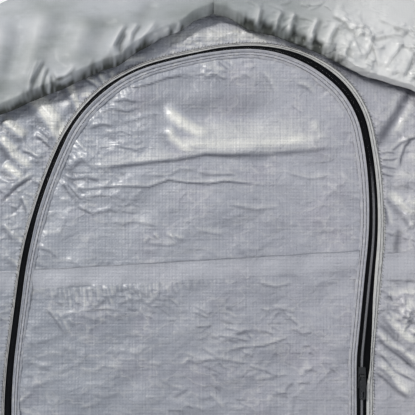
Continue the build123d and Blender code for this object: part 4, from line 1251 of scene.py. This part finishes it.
sideCovers = []
for sideName, side in (("left", -1), ("right", 1)):
    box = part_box(sideName + "_side_cover")
    y, z = np.meshgrid(*(lines((box[0][axis], box[1][axis], 0.009)) for axis in (1, 2)))
    wave = 0.0012 * abs(waveSum(billowWaves, y + 3 * side, z)) * ease((y + wallLines["sewn"]) / 0.04)
    x = side * (wallLines["cornerTube"] + wallLines["sheet"] + wave)
    faces = gridFaces(*y.shape)
    made = addMesh(sideName + "SideCover", np.stack([x, y, z], -1).reshape(-1, 3),
                   faces if side > 0 else faces[:, ::-1], ["film"])
    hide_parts(sideName + "_side_cover")
    sideCovers.append(made)
print("roof cover laid")


# Steel and zip metal keep their CAD shapes

finishWords = {"enamel": ("slider", "pull", "stop"), "socket": ("connector", "socket", "clamp", "foot"),
               "tube": ("upright", "rafter", "post_tube", "base_rail")}
for node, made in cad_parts.items():
    for key, words in finishWords.items():
        if any(word in node for word in words):
            for slot in made.material_slots:
                slot.material = finish[key]


# Camera, lights and floor

cameraPlace = {"x": -0.0093, "y": -0.950, "z": 1.55355, "frameWidth": 0.64325}
camera = bpy.data.objects.new("camera", bpy.data.cameras.new("camera"))
bpy.context.scene.collection.objects.link(camera)
camera.location = (cameraPlace["x"], cameraPlace["y"], cameraPlace["z"])
camera.rotation_euler = (math.radians(90), 0, 0)
camera.data.sensor_width = 36
camera.data.lens = camera.data.sensor_width * (-wallLines["sewn"] - cameraPlace["y"]) / cameraPlace["frameWidth"]
bpy.context.scene.camera = camera


def softLamp(name, place, target, size, power, tone):
    data = bpy.data.lights.new(name, "AREA")
    data.shape, data.size, data.size_y, data.energy, data.color = "RECTANGLE", size[0], size[1], power, tone
    made = bpy.data.objects.new(name, data)
    bpy.context.scene.collection.objects.link(made)
    made.location = place
    way = np.array(target) - np.array(place)
    made.rotation_euler = (math.acos(-way[2] / np.linalg.norm(way)), 0, math.atan2(way[1], way[0]) - math.pi / 2)


softLamp("keyLamp", (-1.97, -2.3, 2.98), (0, 0, 1.45), (0.6, 0.5), 72, (1.0, 0.98, 0.94))
softLamp("fillLamp", (1.8, -2.6, 1.6), (0, 0, 1.3), (2.2, 2.2), 14, (0.92, 0.96, 1.0))
softLamp("backLamp", (0.6, 2.6, 2.8), (0, 0, 1.0), (2.5, 1.5), 45, (0.95, 0.97, 1.0))

roomLook = {"light": (0.27, 0.285, 0.32, 1), "seen": (0.92, 0.93, 0.94, 1)}
world = bpy.data.worlds.new("paleRoom")
bpy.context.scene.world = world
world.use_nodes = True
tree = world.node_tree
rays = addNode("LightPath").outputs
pale = most(most(rays["Is Camera Ray"], rays["Is Transmission Ray"]), rays["Is Glossy Ray"])
join(blend(pale, roomLook["light"], roomLook["seen"]), tree.nodes["Background"], "Color")

bpy.ops.mesh.primitive_plane_add(size=14, location=(0, 0, -0.0005))
floor = bpy.context.active_object
floor.name = "paleFloor"
floor.data.materials.append(finish["floor"])

bpy.context.scene.view_settings.view_transform = "Standard"


# Sheets: width and length of the cloth before it was put up, in metres, how and by what it is held,
# the area where the cut isn't a rectangle, and what is sewn to it

sheets = [
    (gableCloth, (2.03, 0.56), "stretched", ("left_rafter", "right_rafter"), 0.518, sewnOn["wall"]),
    (sideCloths[0], (0.74, 1.43), "stretched", ("left_upright", "base_rail"), 0.99, [leftSeam]),
    (sideCloths[1], (0.80, 1.50), "stretched", ("right_upright", "base_rail"), 1.17, [rightSeam]),
    (doorCloth, (0.59, 1.78), "hung", ("wallZipTape",), 0.925, [*sewnOn["door"], doorSeam, doorHem]),
    (leftCover, (1.14, 0.36), "gathered", ("left_rafter",), None, []),
    (rightCover, (1.14, 0.36), "gathered", ("right_rafter",), None, []),
    (sideCovers[0], (0.165, 1.53), "stretched", ("left_upright",), None, []),
    (sideCovers[1], (0.165, 1.53), "stretched", ("right_upright",), None, []),
]
for piece, flat, held, holders, area, sewn in sheets:
    faces = piece.data.polygons
    print(piece.name, "area", round(sum(face.area for face in faces), 3), "faces", len(faces))
